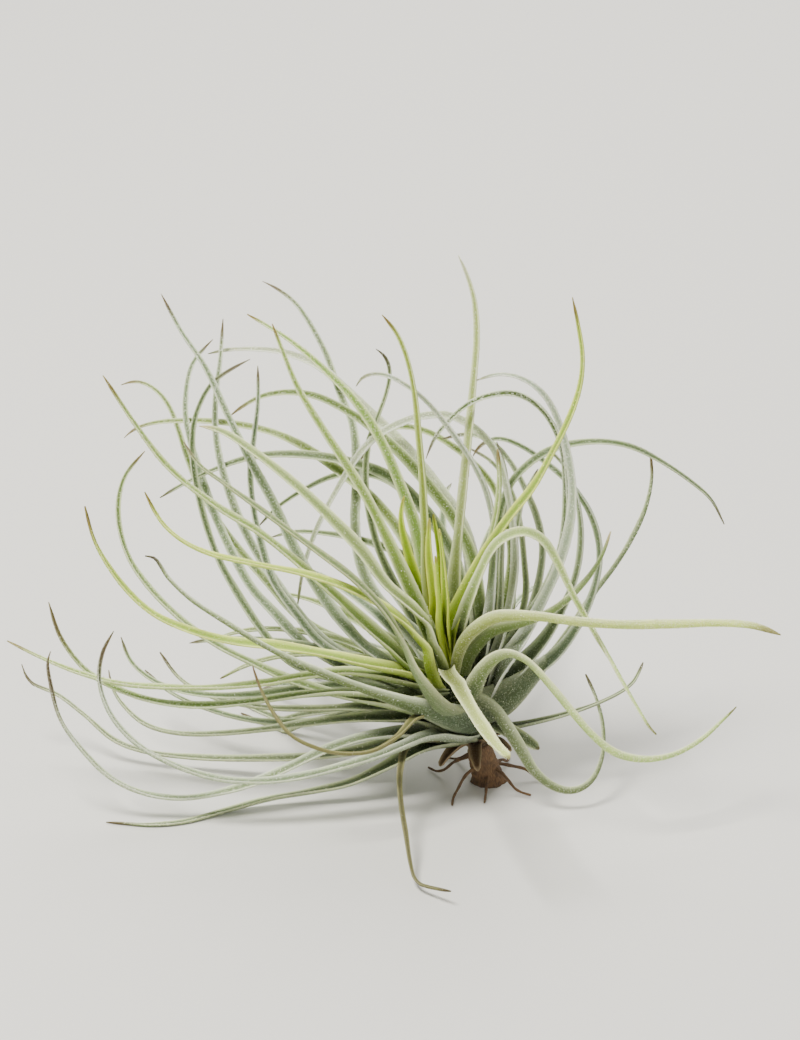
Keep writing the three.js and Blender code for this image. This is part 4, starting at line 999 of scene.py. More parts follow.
@dataclass(frozen=True)
class BladeShape:
    """How a leaf's section runs from its wide clasping sheath through its channelled blade to its rolled tip.

    A curl is half the angle of the arc that the section follows. A wave, such as the twist, has a height and a
    length. The root is wider than the blade by a factor and an addition.
    """

    ring_step: float = 0.8
    upper: int = 9
    tip_width: float = 0.34
    root_gain: Pair = (1.1, 0.2)
    sheath_length: float = 24.0
    sheath_fade: float = 1.25
    thickness: float = 0.62
    tip_thickness: float = 0.5
    thinning: float = 0.6
    edge_thickness: float = 0.16
    fine_end: Pair = (0.03, 0.12)
    sheath_curl: float = 1.25
    sheath_curl_length: float = 20.0
    blade_curl: float = 1.02
    tip_curl: float = 1.4
    tip_curl_span: Pair = (0.45, 1.0)
    keel: Pair = (0.1, 0.22)
    wave: Pair = (0.05, 3.7)
    ragged: Pair = (0.0, 0.9)
    twist: Pair = (0.22, 17.0)
    twist_span: Pair = (0.12, 0.5)
    ripple: Pair = (0.07, 2.3)
    facing: Facing = Facing()
    paint: LeafPaint = LeafPaint()

    def add(self, shell: Shell, leaf: Leaf, draws: Draws) -> None:
        """Add one leaf to a shell.

        Args:
            shell: The mesh in the making.
            leaf: The leaf.
            draws: The random numbers.
        """
        seen = leaf.path.copy()
        soften(seen[:, 2], 2, len(seen) - 2, 2)
        places = even_curve(SIGHT.place(seen), self.ring_step)
        places[:, 2] = np.maximum(places[:, 2], LIE_HEIGHT)
        along = np.arange(len(places)) * self.ring_step
        share = along / along[-1]
        phases = [draws.phase() for _ in range(4)]
        waves = [self._wave(wave, along, phase)
                 for wave, phase in zip((self.wave, self.ragged, self.twist, self.ripple), phases)]
        twist = waves[2] * smooth(share, *self.twist_span)
        sides, faces = self._frames(places, twist, leaf.look.roll)
        fine = np.sqrt(np.clip((1 - share) / self.fine_end[0], self.fine_end[1], 1))
        thick = self.thickness * mix(self.tip_thickness, 1, (1 - share) ** self.thinning) * fine
        upper = np.sin(np.linspace(-math.pi / 2, math.pi / 2, self.upper))
        spots = np.concatenate([upper, upper[::-1][1:-1]])
        raised = np.concatenate([[0], np.ones(self.upper - 2), [0], -np.ones(self.upper - 2)])
        curls = self._curls(along, share)
        widths = self._widths(leaf, along, share) * (1 + waves[0] + waves[1]) * fine
        x, y = self._section(widths, thick, curls, spots, raised)
        y = y + waves[3][:, None] * spots ** 2 * np.sign(spots)
        rings = places[:, None] + sides[:, None] * x[..., None] + faces[:, None] * y[..., None]
        shell.add_tube(rings, self.paint.values(leaf.look, along, spots, raised, draws), clockwise=True)

    @staticmethod
    def _wave(wave: Pair, along: Array, phase: float) -> Array:
        """Draw a wave from its height, its length and where it begins."""
        return wave[0] * np.sin(along / wave[1] + phase)

    def _widths(self, leaf: Leaf, along: Array, share: Array) -> Array:
        """Find how wide a leaf is at each ring.

        Args:
            leaf: The leaf.
            along: The distance from the root, by ring.
            share: The same as a share of the length.

        Returns:
            The widths, without waves.
        """
        blade = leaf.look.width * leaf.look.slim
        root = blade * self.root_gain[0] + self.root_gain[1]
        widths = self.tip_width + (root - self.tip_width) * (1 - share) ** leaf.look.taper
        clasp = np.maximum(0, 1 - along / self.sheath_length) ** self.sheath_fade
        return widths + (leaf.sheath - blade) * clasp

    def _curls(self, along: Array, share: Array) -> Array:
        """Find the curl of each ring, from its distance and its share of the length."""
        curl = mix(self.blade_curl, self.sheath_curl, np.maximum(0, 1 - along / self.sheath_curl_length))
        return curl + (self.tip_curl - self.blade_curl) * smooth(share, *self.tip_curl_span)

    def _frames(self, places: Array, twist: Array, roll: float) -> tuple[Array, Array]:
        """Turn the leaf so that its upper face looks at the stem.

        Args:
            places: The path.
            twist: How far the leaf is twisted away from that, at each place.
            roll: How far all of it is rolled.

        Returns:
            The directions across the leaf and out of its upper face.
        """
        across = unit(np.cross(STEM.axis, places[2] - places[0]))
        carried = frames_along(places, across, np.zeros(len(places)))
        turns = self.facing.turns(places, *carried, self.ring_step)
        return frames_along(places, across, turns + twist + roll)

    def _section(self, widths: Array, thick: Array, curl: Array, spots: Array,
                 raised: Array) -> tuple[Array, Array]:
        """Draw the section of each ring: an arc with a thickness and a keel.

        Args:
            widths: The width of each ring.
            thick: The thickness of each ring.
            curl: The curl of each ring.
            spots: Where each corner is across the leaf, from -1 to 1.
            raised: 1 on the upper face, -1 on the lower face and 0 at the edges.

        Returns:
            How far each corner is across the leaf and out of its upper face.
        """
        angle = curl[:, None] * spots
        radius = (widths / 2 / np.sin(curl))[:, None]
        local = thick[:, None] / 2 * (1 - spots ** 2 * (1 - self.edge_thickness)) * raised
        keel = np.where(raised < 0, self.keel[0] * np.exp(-(spots / self.keel[1]) ** 2), 0)
        x = radius * np.sin(angle) - local * np.sin(angle)
        y = radius * (1 - np.cos(angle)) + local * np.cos(angle) - keel
        return x, y - radius * (1 - np.cos(curl[:, None])) * 0.5


class Wires:
    """Adds nodes to a node tree and joins them."""

    def __init__(self, tree: bpy.types.NodeTree) -> None:
        """Take a tree and empty it."""
        self.tree = tree
        self.tree.nodes.clear()

    def node(self, kind: str, inputs: dict[str | int, object] | None = None,
             **settings: object) -> Node:
        """Add a node.

        Args:
            kind: The node's type.
            inputs: Values for its inputs, or sockets to join to them.
            settings: Its own settings.

        Returns:
            The node.
        """
        node = self.tree.nodes.new(kind)
        for name, value in settings.items():
            setattr(node, name, value)
        for name, value in (inputs or {}).items():
            if isinstance(value, Socket):
                self.tree.links.new(value, node.inputs[name])
            else:
                node.inputs[name].default_value = value
        return node

    def math(self, operation: str, one: object, other: object) -> Socket:
        """Work out a number from two others."""
        return self.node("ShaderNodeMath", {0: one, 1: other}, operation=operation).outputs[0]


class Paint(Wires):
    """The nodes of a material."""

    BUMP_STRENGTH = 0.9

    def __init__(self, name: str) -> None:
        """Start an empty material.

        Args:
            name: The material's name.
        """
        self.material = bpy.data.materials.new(name)
        self.material.use_nodes = True
        super().__init__(self.material.node_tree)

    def place(self) -> Socket:
        """Read the place on the object."""
        return self.node("ShaderNodeTexCoord").outputs["Object"]

    def number(self, name: str) -> Socket:
        """Read one of the piece's own numbers."""
        return self.node("ShaderNodeAttribute", attribute_name=name).outputs["Fac"]

    def vector(self, name: str) -> Socket:
        """Read one of the piece's own vectors as a colour."""
        return self.node("ShaderNodeAttribute", attribute_name=name).outputs["Color"]

    def noise(self, where: Socket, scale: float, detail: float) -> Socket:
        """Make soft noise."""
        return self.node("ShaderNodeTexNoise", {"Vector": where, "Scale": scale, "Detail": detail}).outputs[0]

    def fibres(self, across: float, along: float, scale: float, detail: float) -> Socket:
        """Make noise that is drawn out along the piece.

        Args:
            across: How fast it changes across the piece.
            along: How fast it changes along it.
            scale: The noise's scale.
            detail: The noise's detail.

        Returns:
            The noise.
        """
        strip = {0: self.math("MULTIPLY", self.number("across"), across),
                 1: self.math("MULTIPLY", self.number("along"), along)}
        return self.noise(self.node("ShaderNodeCombineXYZ", strip).outputs[0], scale, detail)

    def span(self, value: object, low: float, high: float, start: float, end: float) -> Socket:
        """Spread a value from one range to another, and clamp it."""
        inputs = {"Value": value, "From Min": low, "From Max": high, "To Min": start, "To Max": end}
        return self.node("ShaderNodeMapRange", inputs).outputs[0]

    def blend(self, share: object, one: object, other: object, kind: str = "MIX") -> Socket:
        """Blend two colours."""
        inputs = {0: share, 6: one, 7: other}
        return self.node("ShaderNodeMix", inputs, data_type="RGBA", blend_type=kind).outputs[2]

    def bump(self, height: object, distance: float) -> Socket:
        """Raise the surface by a height, over a distance in metres."""
        inputs = {"Strength": self.BUMP_STRENGTH, "Distance": distance, "Height": height}
        return self.node("ShaderNodeBump", inputs).outputs[0]

    def finish(self, inputs: dict[str, object]) -> Material:
        """Add the surface shader and join it to the output.

        Args:
            inputs: The shader's inputs.

        Returns:
            The material.
        """
        shader = self.node("ShaderNodeBsdfPrincipled", inputs)
        self.node("ShaderNodeOutputMaterial", {"Surface": shader.outputs[0]})
        return self.material


@dataclass(frozen=True)
class LeafFinish:
    """Living leaf: tinted by its own values, streaked along its length, with a grain of silver scales.

    A noise has a scale and a detail. Fibres also have, before these, how fast they change across and along.
    Four numbers elsewhere spread the range of the first two over the range of the others. The relief is how
    high flecks and streaks stand, and over how many metres.
    """

    name: str
    roughness: Pair = (0.42, 0.66)
    sheen: float = 0.06
    glow: float = 0.18
    glow_radius: Triple = (0.0006, 0.0008, 0.0003)
    specular: float = 0.25
    streak: Four = (5.0, 0.16, 1.6, 4.0)
    streak_rough: Pair = (0.3, 0.7)
    streak_shade: Four = (0.35, 0.7, 0.0, 0.34)
    streak_tint: Colour = (0.32, 0.4, 0.2, 1.0)
    mottle: Pair = (420.0, 3.0)
    mottle_shade: Four = (0.35, 0.68, 0.0, 0.3)
    mottle_tint: Colour = (1.25, 1.22, 1.05, 1.0)
    grain_scale: float = 3100.0
    fleck: Four = (0.3, 0.46, 1.0, 0.0)
    patch: Pair = (1500.0, 2.0)
    patch_shade: Four = (0.34, 0.62, 0.25, 1.0)
    silver: float = 0.85
    relief: Triple = (0.6, 0.7, 0.00012)

    def material(self) -> Material:
        """Build the material.

        Returns:
            The material.
        """
        paint = Paint(self.name)
        where = paint.place()
        streak = paint.fibres(*self.streak)
        mottle = paint.noise(where, *self.mottle)
        grain = paint.node("ShaderNodeTexVoronoi", {"Vector": where, "Scale": self.grain_scale})
        fleck = paint.span(grain.outputs["Distance"], *self.fleck)
        patch = paint.span(paint.noise(where, *self.patch), *self.patch_shade)
        silver = paint.math("MULTIPLY", paint.number("silver"), self.silver)
        amount = paint.math("MULTIPLY", paint.math("MULTIPLY", fleck, patch), silver)
        shade = paint.span(streak, *self.streak_shade)
        shaded = paint.blend(shade, paint.vector("tint"), self.streak_tint, "MULTIPLY")
        lively = paint.blend(paint.span(mottle, *self.mottle_shade), shaded, self.mottle_tint, "MULTIPLY")
        raised = [paint.math("MULTIPLY", part, height) for part, height in zip((fleck, streak), self.relief)]
        return paint.finish({
            "Base Color": paint.blend(amount, lively, paint.vector("rime")),
            "Roughness": paint.span(streak, *self.streak_rough, *self.roughness),
            "Normal": paint.bump(paint.math("ADD", *raised), self.relief[2]),
            "Specular IOR Level": self.specular,
            "Sheen Weight": self.sheen,
            "Subsurface Weight": self.glow,
            "Subsurface Radius": self.glow_radius,
            "Subsurface Scale": 1.0,
        })


@dataclass(frozen=True)
class ScaleFinish:
    """Silver scales: pale, a little tinted by the leaf below, and let some light through."""

    name: str
    pale: Colour = colour("f0f2e4")
    mottle: Pair = (900.0, 2.0)
    mottle_shade: Four = (0.3, 0.7, 0.0, 0.5)
    grain: Pair = (2500.0, 1.0)
    grain_rough: Four = (0.3, 0.7, 0.35, 0.6)
    glow: float = 0.2
    glow_radius: Triple = (0.0004, 0.0004, 0.0003)

    def material(self) -> Material:
        """Build the material.

        Returns:
            The material.
        """
        paint = Paint(self.name)
        where = paint.place()
        share = paint.span(paint.noise(where, *self.mottle), *self.mottle_shade)
        return paint.finish({
            "Base Color": paint.blend(share, paint.vector("rime"), self.pale),
            "Roughness": paint.span(paint.noise(where, *self.grain), *self.grain_rough),
            "Subsurface Weight": self.glow,
            "Subsurface Radius": self.glow_radius,
            "Subsurface Scale": 1.0,
        })


@dataclass(frozen=True)
class WoodFinish:
    """Dull brown fibrous stem and roots."""

    name: str
    dark: Colour = colour("3d2c1e")
    light: Colour = colour("8a6b4c")
    fibre: Four = (9.0, 0.5, 2.2, 5.0)
    patch: Pair = (600.0, 4.0)
    shares: Pair = (0.6, 0.4)
    lightness: Four = (0.35, 0.62, 0.0, 1.0)
    roughness: Four = (0.3, 0.7, 0.7, 0.95)
    relief: float = 0.0002

    def material(self) -> Material:
        """Build the material.

        Returns:
            The material.
        """
        paint = Paint(self.name)
        fibre = paint.fibres(*self.fibre)
        patch = paint.noise(paint.place(), *self.patch)
        parts = [paint.math("MULTIPLY", part, share) for part, share in zip((fibre, patch), self.shares)]
        share = paint.math("ADD", *parts)
        return paint.finish({
            "Base Color": paint.blend(paint.span(share, *self.lightness), self.dark, self.light),
            "Roughness": paint.span(patch, *self.roughness),
            "Normal": paint.bump(share, self.relief),
        })


@dataclass(frozen=True)
class FloorFinish:
    """Plain pale floor."""

    name: str
    pale: Colour = colour("dddbd6")
    roughness: float = 0.8

    def material(self) -> Material:
        """Build the material."""
        return Paint(self.name).finish({"Base Color": self.pale, "Roughness": self.roughness})


@dataclass(frozen=True)
class ScaleCoat:
    """The silver scales on a tier, strewn by geometry nodes: how many to a square mm, their size and tilt."""

    density: float
    height: float = 0.19
    radius: float = 0.085
    sizes: Pair = (0.6, 1.35)
    tilt: float = 1.1
    turn: float = 3.14
    seed: int = 7

    def tree(self, material: Material) -> bpy.types.GeometryNodeTree:
        """Build the node tree, with named inputs for density, height, radius and seed.

        Args:
            material: The scales' material.

        Returns:
            The tree.
        """
        tree = bpy.data.node_groups.new("strewn_scales", "GeometryNodeTree")
        for kind, name in (("Geometry", "Geometry"), ("Float", "Density"), ("Float", "Height"),
                           ("Float", "Radius"), ("Int", "Seed")):
            tree.interface.new_socket(name, in_out="INPUT", socket_type="NodeSocket" + kind)
        tree.interface.new_socket("Geometry", in_out="OUTPUT", socket_type="NodeSocketGeometry")
        wires = Wires(tree)
        given = wires.node("NodeGroupInput").outputs
        fuzz = wires.node("GeometryNodeInputNamedAttribute", {"Name": "fuzz"}, data_type="FLOAT").outputs[0]
        strewn = wires.node("GeometryNodeDistributePointsOnFaces", {
            "Mesh": given["Geometry"], "Seed": given["Seed"],
            "Density": wires.math("MULTIPLY", given["Density"], fuzz)}).outputs
        cone = wires.node("GeometryNodeMeshCone", {
            "Vertices": 3, "Depth": given["Height"], "Radius Bottom": given["Radius"]},
            fill_type="TRIANGLE_FAN").outputs["Mesh"]
        size = wires.node("FunctionNodeRandomValue", {2: self.sizes[0], 3: self.sizes[1]}, data_type="FLOAT")
        least, most = (-self.tilt, -self.tilt, -self.turn), (self.tilt, self.tilt, self.turn)
        tilt = wires.node("FunctionNodeRandomValue", {0: least, 1: most}, data_type="FLOAT_VECTOR")
        planted = wires.node("GeometryNodeInstanceOnPoints", {
            "Points": strewn["Points"], "Instance": cone, "Rotation": strewn["Rotation"],
            "Scale": size.outputs[1]})
        turned = wires.node("GeometryNodeRotateInstances", {
            "Instances": planted.outputs[0], "Rotation": tilt.outputs[0]})
        real = wires.node("GeometryNodeRealizeInstances", {0: turned.outputs[0]})
        dressed = wires.node("GeometryNodeSetMaterial", {"Geometry": real.outputs[0], "Material": material})
        wires.node("NodeGroupOutput", {"Geometry": dressed.outputs[0]})
        return tree

    def strew(self, leaves: Object, name: str, material: Material) -> Object:
        """Strew scales over a piece.

        Args:
            leaves: The piece that carries the scales.
            name: The name of the new piece.
            material: Its material.

        Returns:
            The scales as one plain piece.
        """
        carrier = placed(name + "_carrier", leaves.data)
        modifier = carrier.modifiers.new("scales", "NODES")
        modifier.node_group = self.tree(material)
        inputs = {"Density": self.density / MM ** 2, "Height": self.height * MM, "Radius": self.radius * MM,
                  "Seed": self.seed}
        for item in modifier.node_group.interface.items_tree:
            if item.name in inputs:
                modifier[item.identifier] = inputs[item.name]
        depsgraph = bpy.context.evaluated_depsgraph_get()
        mesh = bpy.data.meshes.new_from_object(carrier.evaluated_get(depsgraph))
        bpy.data.objects.remove(carrier)
        mesh.name = name
        corners = np.empty(len(mesh.vertices) * 3)
        mesh.vertices.foreach_get("co", corners)
        corners[2::3] = np.maximum(corners[2::3], 0)
        mesh.vertices.foreach_set("co", corners)
        mesh.polygons.foreach_set("use_smooth", [False] * len(mesh.polygons))
        return placed(name, mesh)


@dataclass(frozen=True)
class BulbCore:
    """The bulb of packed leaf bases inside a tier, its tone darkened with painted shade, with a low ridge where
    sheaths overlap.
    """

    part: Pair
    tone: Tone
    inset: float = 0.45
    rings: int = 9
    sides: int = 32
    overlap: float = 0.02
    ridge: float = 0.04
    ridges: int = 7
    ridge_turn: float = 1.0
    # How far the sheath tone is darkened: painted shade deep inside the rosette.
    shade: float = 0.4
    silver: float = 0.3
    streaks: Pair = (8, 3)

    def add(self, shell: Shell) -> None:
        """Add the bulb to a shell.

        Args:
            shell: The mesh in the making.
        """
        turn = wheel(self.sides)
        directions = spokes(STEM.side, np.cross(STEM.axis, STEM.side), turn)
        ridges = (1 + self.ridge * np.sin(turn * self.ridges + self.ridge_turn))[:, None]
        shares = np.linspace(self.part[0], self.part[1] + self.overlap, self.rings)
        rings = np.array([STEM.place(share) + directions * (STEM.radius(share) - self.inset) * ridges
                          for share in shares])
        sheath, _, _, edge = self.tone.colours
        along = np.linspace(0, self.streaks[0], self.rings)[:, None]
        # The tint is the sheath tone darkened with painted shade.
        shell.add_tube(rings, {"tint": sheath * self.shade, "rime": edge, "silver": self.silver, "fuzz": 0.0,
                               "across": np.sin(turn * self.streaks[1]), "along": along})


@dataclass
class LeafTier:
    """One tier of leaves with the bulb that they grow from.

    The lean, in degrees, and the sheath are those of its leaves, the drift moves them in the heart, and the
    roots are where on the tier's part of the stem they begin.
    """

    node: str
    rows: tuple[LeafRow, ...]
    part: Pair
    lean: float
    sheath: float
    bulb_tone: Tone
    coat: ScaleCoat
    hidden: HiddenRule | None = None
    drift: Pair = (0.0, 0.0)
    roots: Pair = (0.1, 0.5)
    shape: BladeShape = BladeShape()
    leaves: list[Leaf] = field(default_factory=list)

    def plant(self, draws: Draws) -> None:
        """Plant the leaves, those that spread most lowest on the stem, and then the hidden ones.

        Args:
            draws: The random numbers.
        """
        top = STEM.place(self.part[1])
        firsts = [SIGHT.place(np.array([*row.path[:2], row.toward[0]])) - top for row in self.rows]
        spread = [math.acos(float(unit(first) @ STEM.axis)) for first in firsts]
        order = sorted(range(len(self.rows)), key=lambda n: -spread[n])
        for n, row in enumerate(self.rows):
            height = mix(*self.roots, (order.index(n) + 0.5) / len(self.rows))
            path = seen_path(row, STEM.place(mix(*self.part, height)), math.radians(self.lean))
            self.leaves.append(Leaf(path, row, row.sheath or self.sheath))
        if self.hidden:
            self.leaves += self.hidden.leaves(draws)

    def settle(self) -> None:
        """Bring the bases of the leaves to where they show in the heart."""
        for leaf in self.leaves:
            leaf.drift(self.drift)
        for leaf, row in zip(self.leaves, self.rows):
            if row.base:
                leaf.rebase(np.array(row.base).reshape(-1, 3))

    def build(self, draws: Draws, scales: Material) -> list[Object]:
        """Make the tier's leaves and their scales.

        Args:
            draws: The random numbers.
            scales: The material of the scales.

        Returns:
            The pieces.
        """
        shell = Shell()
        BulbCore(self.part, self.bulb_tone).add(shell)
        for leaf in self.leaves:
            self.shape.add(shell, leaf, draws)
        blades = shell.piece(self.node + "_blades", LeafFinish(self.node).material())
        return [blades, self.coat.strew(blades, self.node + "_scales", scales)]


@dataclass(frozen=True)
class DryBases:
    """The short dry leaf bases between the stub and the living leaves, with leans in degrees."""

    count: int = 8
    length: Pair = (6, 9)
    sheath: float = 3.4
    lean: Pair = (55, 120)
    uneven: float = 0.4
    core: BulbCore = BulbCore((-0.16, -0.02), Tone.DRY, inset=0.3)
    look: LeafLook = LeafLook(Tone.DRY, 2.4)
    shape: BladeShape = BladeShape(ring_step=0.5, tip_width=0.9, sheath_length=4.0, thickness=0.6,
                                   wave=(0.1, 3.7), ragged=(0.12, 0.9), twist=(0.4, 17.0))
    finish: LeafFinish = LeafFinish("dry_leaf", roughness=(0.7, 0.95), glow=0.05)

    def build(self, draws: Draws, looks: Draws) -> Object:
        """Make the bases.

        Args:
            draws: The random numbers for their places.
            looks: The random numbers for their finish.

        Returns:
            The piece.
        """
        shell = Shell()
        self.core.add(shell)
        root = STEM.place(mix(*self.core.part, 0.5))
        for n in range(self.count):
            turn = 2 * math.pi * (n + self.uneven * draws.next()) / self.count
            leans = drawn_leans(self.lean, draws)
            path = hidden_path(root, turn, leans, draws.between(*self.length))
            self.shape.add(shell, Leaf(path, self.look, self.sheath), looks)
        return shell.piece("dry_leaf_bases_papery", self.finish.material())


@dataclass(frozen=True)
class WiryRoot:
    """A knobbly root that leaves the stub, droops, sways and lies on the surface.

    The sway and the knobs have a height and a rate.
    """

    reach: Pair = (7, 12)
    height: Pair = (2.2, 5.5)
    uneven: float = 0.5
    curl: float = 0.8
    start: float = 1.0
    droop: float = 1.6
    lowest: Pair = (0.42, 0.36)
    sway: Pair = (0.1, 1.3)
    radius: float = 0.34
    thinning: float = 0.45
    knobs: Pair = (0.1, 3.1)
    step: float = 0.35
    places: int = 7
    sides: int = 10

    def add(self, shell: Shell, number: int, count: int, draws: Draws, looks: Draws) -> None:
        """Add one root to a shell.

        Args:
            shell: The mesh in the making.
            number: The root's number.
            count: How many roots there are.
            draws: The random numbers for its path.
            looks: The random numbers for its sway.
        """
        turn = 2 * math.pi * (number + self.uneven * draws.next()) / count
        reach, height = draws.between(*self.reach), draws.between(*self.height)
        curl = self.curl * (draws.next() - 0.5)
        share = np.linspace(0, 1, self.places)
        out, angle = self.start + reach * share, turn + curl * share ** 2
        rise = np.maximum(self.lowest[0], height * (1 - self.droop * share ** 2))
        places = even_curve(np.column_stack([out * np.cos(angle), out * np.sin(angle), rise]), self.step)
        along = np.arange(len(places)) * self.step
        sway = self.sway[0] * np.sin(along * self.sway[1] + looks.phase())
        places[:, 2] = np.maximum(places[:, 2] + sway, self.lowest[1])
        sides, faces = frames_along(places, np.array([0.0, 0.0, 1.0]), np.zeros(len(places)))
        knobs = 1 + self.knobs[0] * np.sin(along * self.knobs[1])
        radii = self.radius * (1 - self.thinning * (along / along[-1])) * knobs
        rings = places[:, None] + spokes(sides, faces, wheel(self.sides)) * radii[:, None, None]
        shell.add_tube(rings, {"across": np.sin(wheel(self.sides)), "along": along[:, None]})


@dataclass(frozen=True)
class StemStub:
    """The woody stub with its flat foot, its knobs and leaf scars, and the wiry roots on it.

    The scars have a height and a rate, and the streaks a length and a rate.
    """

    count: int = 7
    foot_radius: float = 3.0
    top_radius: float = 1.9
    top_share: float = -0.13
    rings: int = 30
    sides: int = 28
    knob: float = 0.16
    knob_rows: int = 8
    scars: Pair = (0.07, 17)
    scar_span: Pair = (0.08, 0.2)
    streaks: Pair = (8, 2)
    root: WiryRoot = WiryRoot()

    def build(self, draws: Draws, looks: Draws) -> Object:
        """Make the stub and its roots.

        Args:
            draws: The random numbers for the roots' places.
            looks: The random numbers for knobs and sways.

        Returns:
            The piece.
        """
        shell = Shell()
        for n in range(self.count):
            self.root.add(shell, n, self.count, draws, looks)
        share, turn = np.linspace(0, 1, self.rings), wheel(self.sides)
        axes = units(np.array([0.0, 0.0, 1.0]) * (1 - share[:, None]) + STEM.axis * share[:, None])
        sides = units(np.cross(np.array([0.0, 1.0, 0.0]), axes))
        directions = spokes(sides, np.cross(axes, sides), turn)
        middles = STEM.place(self.top_share) * share[:, None]
        rings = middles[:, None] + directions * self._radii(share, looks)[..., None]
        along = share[:, None] * self.streaks[0]
        shell.add_tube(rings, {"across": np.sin(turn * self.streaks[1]), "along": along})
        return shell.piece("stem_stub_woody", WoodFinish("woody_stem").material())

    def _radii(self, share: Array, looks: Draws) -> Array:
        """Find the stub's radius at each corner.

        Args:
            share: Each ring's share of the height.
            looks: The random numbers for the knobs.

        Returns:
            The radii, by ring and side.
        """
        drawn = [[looks.next() for _ in range(self.sides)] for _ in range(self.knob_rows)]
        knobs = 1 + self.knob * (np.array(drawn) - 0.5)
        heights = np.linspace(0, 1, self.knob_rows)
        rows = np.stack([np.interp(share, heights, column) for column in knobs.T], axis=1)
        scars = 1 + self.scars[0] * np.abs(np.sin(share * self.scars[1])) * smooth(share, *self.scar_span)
        radii = self.foot_radius + (self.top_radius - self.foot_radius) * np.sqrt(share)
        return radii[:, None] * rows * scars[:, None]


@dataclass(frozen=True)
class SoftLight:
    """A large soft light: its place and size in metres, its power and its colour."""

    name: str
    place: Triple
    size: float
    power: float
    tint: Triple


@dataclass(frozen=True)
class Studio:
    """The floor, the soft lights, the sky and the camera. The floor and the place lit are in metres."""

    floor_size: float = 6.0
    lit: Triple = (-0.01, 0.0, 0.035)
    image: tuple[int, int] = (800, 1040)
    pixels_a_mm: float = 6.0
    sensor: float = 36.0
    nearest: float = 0.01
    sky: Colour = (0.93, 0.93, 0.92, 1.0)
    sky_strength: float = 0.42
    lights: tuple[SoftLight, ...] = (
        SoftLight("key_light", (-0.35, -0.15, 0.9), 0.3, 16.5, (1.0, 0.98, 0.92)),
        SoftLight("fill_light", (0.7, -0.5, 0.45), 0.7, 1.7, (0.97, 0.98, 1.0)),
        SoftLight("back_light", (0.1, 0.7, 0.65), 0.5, 7.5, (1.0, 0.99, 0.94)),
    )

    def build(self) -> None:
        """Make the floor, the lights, the sky and the camera."""
        half = self.floor_size / 2
        mesh = bpy.data.meshes.new("floor")
        corners = [(-half, -half, 0), (half, -half, 0), (half, half, 0), (-half, half, 0)]
        mesh.from_pydata(corners, [], [(0, 1, 2, 3)])
        mesh.materials.append(FloorFinish("pale_floor").material())
        floor = placed("floor", mesh)
        for light in self.lights:
            self._add_light(light)
        world = bpy.data.worlds.new("soft_sky")
        world.use_nodes = True
        back = world.node_tree.nodes["Background"]
        back.inputs["Color"].default_value = self.sky
        back.inputs["Strength"].default_value = self.sky_strength
        bpy.context.scene.world = world
        self._add_camera()

    def _add_light(self, light: SoftLight) -> None:
        """Add one soft light that points at the plant.

        Args:
            light: The light.
        """
        data = bpy.data.lights.new(light.name, "AREA")
        data.size = light.size
        data.energy = light.power
        data.color = light.tint
        place = np.array(light.place)
        back = -unit(np.array(self.lit) - place)
        placed(light.name, data).matrix_world = self._aimed(place, back, np.array([0.0, 0.0, 1.0]))

    def _add_camera(self) -> None:
        """Add the camera where the plant was seen from."""
        data = bpy.data.cameras.new("camera")
        data.sensor_width = self.sensor
        data.lens = SIGHT.distance * self.pixels_a_mm * self.sensor / max(self.image)
        data.clip_start = self.nearest
        camera = placed("camera", data)
        place = (SIGHT.looked_at + SIGHT.toward * SIGHT.distance) * MM
        camera.matrix_world = self._aimed(place, SIGHT.toward, SIGHT.upward)
        bpy.context.scene.camera = camera

    @staticmethod
    def _aimed(place: Array, back: Array, up: Array) -> mathutils.Matrix:
        """Place an object so that its back points one way and its top another.

        Args:
            place: Where the object is.
            back: The direction of its own Z.
            up: About the direction of its own Y.

        Returns:
            The matrix.
        """
        side = unit(np.cross(up, back))
        top = np.cross(back, side)
        columns = np.column_stack([side, top, back, place])
        return mathutils.Matrix([*columns.tolist(), [0, 0, 0, 1]])


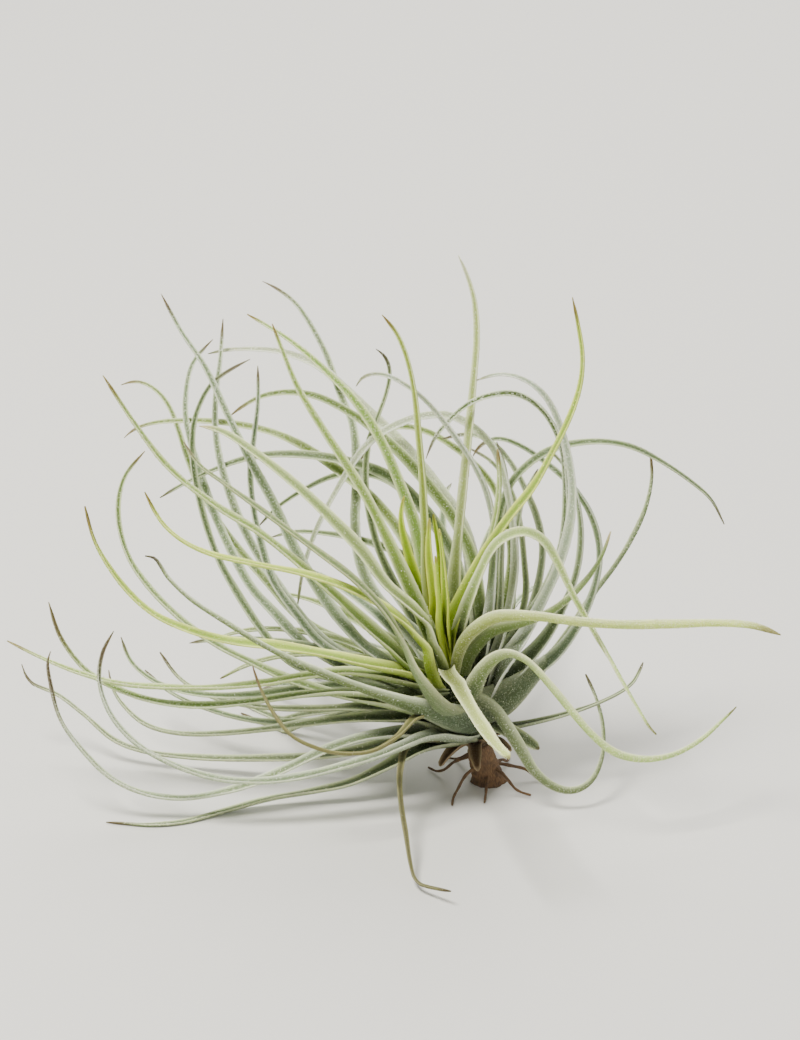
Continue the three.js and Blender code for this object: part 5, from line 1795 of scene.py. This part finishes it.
def leaf_tiers() -> list[LeafTier]:
    """List the tiers of leaves from the heart down, before their leaves are planted.

    Returns:
        The tiers.
    """
    behind_outer = HiddenRule(count=9, part=(0.26, 0.4), lean=(35, 95), length=(44, 60), arc=(-75, 25),
                              tones=(Tone.SAGE, Tone.SILVER, Tone.SHADED))
    behind_old = HiddenRule(count=9, part=(0.04, 0.16), lean=(68, 112), length=(44, 60), arc=(-65, 20),
                            tones=(Tone.OLD, Tone.SILVER))
    return [
        LeafTier("heart_leaves", HEART_ROWS, part=(0.82, 0.97), lean=10, sheath=3.4, bulb_tone=Tone.YOUNG,
                 coat=ScaleCoat(5.0), drift=(-0.5, -0.8)),
        LeafTier("inner_leaves", INNER_ROWS, part=(0.62, 0.82), lean=60, sheath=5.0, bulb_tone=Tone.SHADED,
                 coat=ScaleCoat(6.0), drift=(-1.0, -0.2)),
        LeafTier("outer_leaves", OUTER_ROWS, part=(0.2, 0.62), lean=85, sheath=6.2, bulb_tone=Tone.SAGE,
                 coat=ScaleCoat(3.2), hidden=behind_outer),
        LeafTier("old_leaves", OLD_ROWS, part=(-0.02, 0.2), lean=95, sheath=6.0, bulb_tone=Tone.OLD,
                 coat=ScaleCoat(4.5), hidden=behind_old),
    ]


def main() -> None:
    """Grow the plant, bend its leaves clear of each other, build the studio and report each piece."""
    places, looks = Draws(PLACE_SEED), Draws(LOOK_SEED)
    tiers = leaf_tiers()
    for tier in tiers:
        tier.plant(places)
    Clearance().bend([leaf for tier in tiers for leaf in tier.leaves])
    scales = ScaleFinish("silver_scales").material()
    pieces: list[tuple[Object, str]] = []
    for tier in tiers:
        tier.settle()
        pieces += [(piece, tier.node) for piece in tier.build(looks, scales)]
    pieces.append((DryBases().build(places, looks), "dry_leaf_bases"))
    pieces.append((StemStub().build(places, looks), "stem_stub"))
    for piece, node in pieces:
        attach(piece, "root")
        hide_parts(node)
        triangles = sum(len(face.vertices) - 2 for face in piece.data.polygons)
        log.info("%s: %d triangles for %s", piece.name, triangles, node)
    Studio().build()
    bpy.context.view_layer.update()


if __name__ == "__main__":
    main()
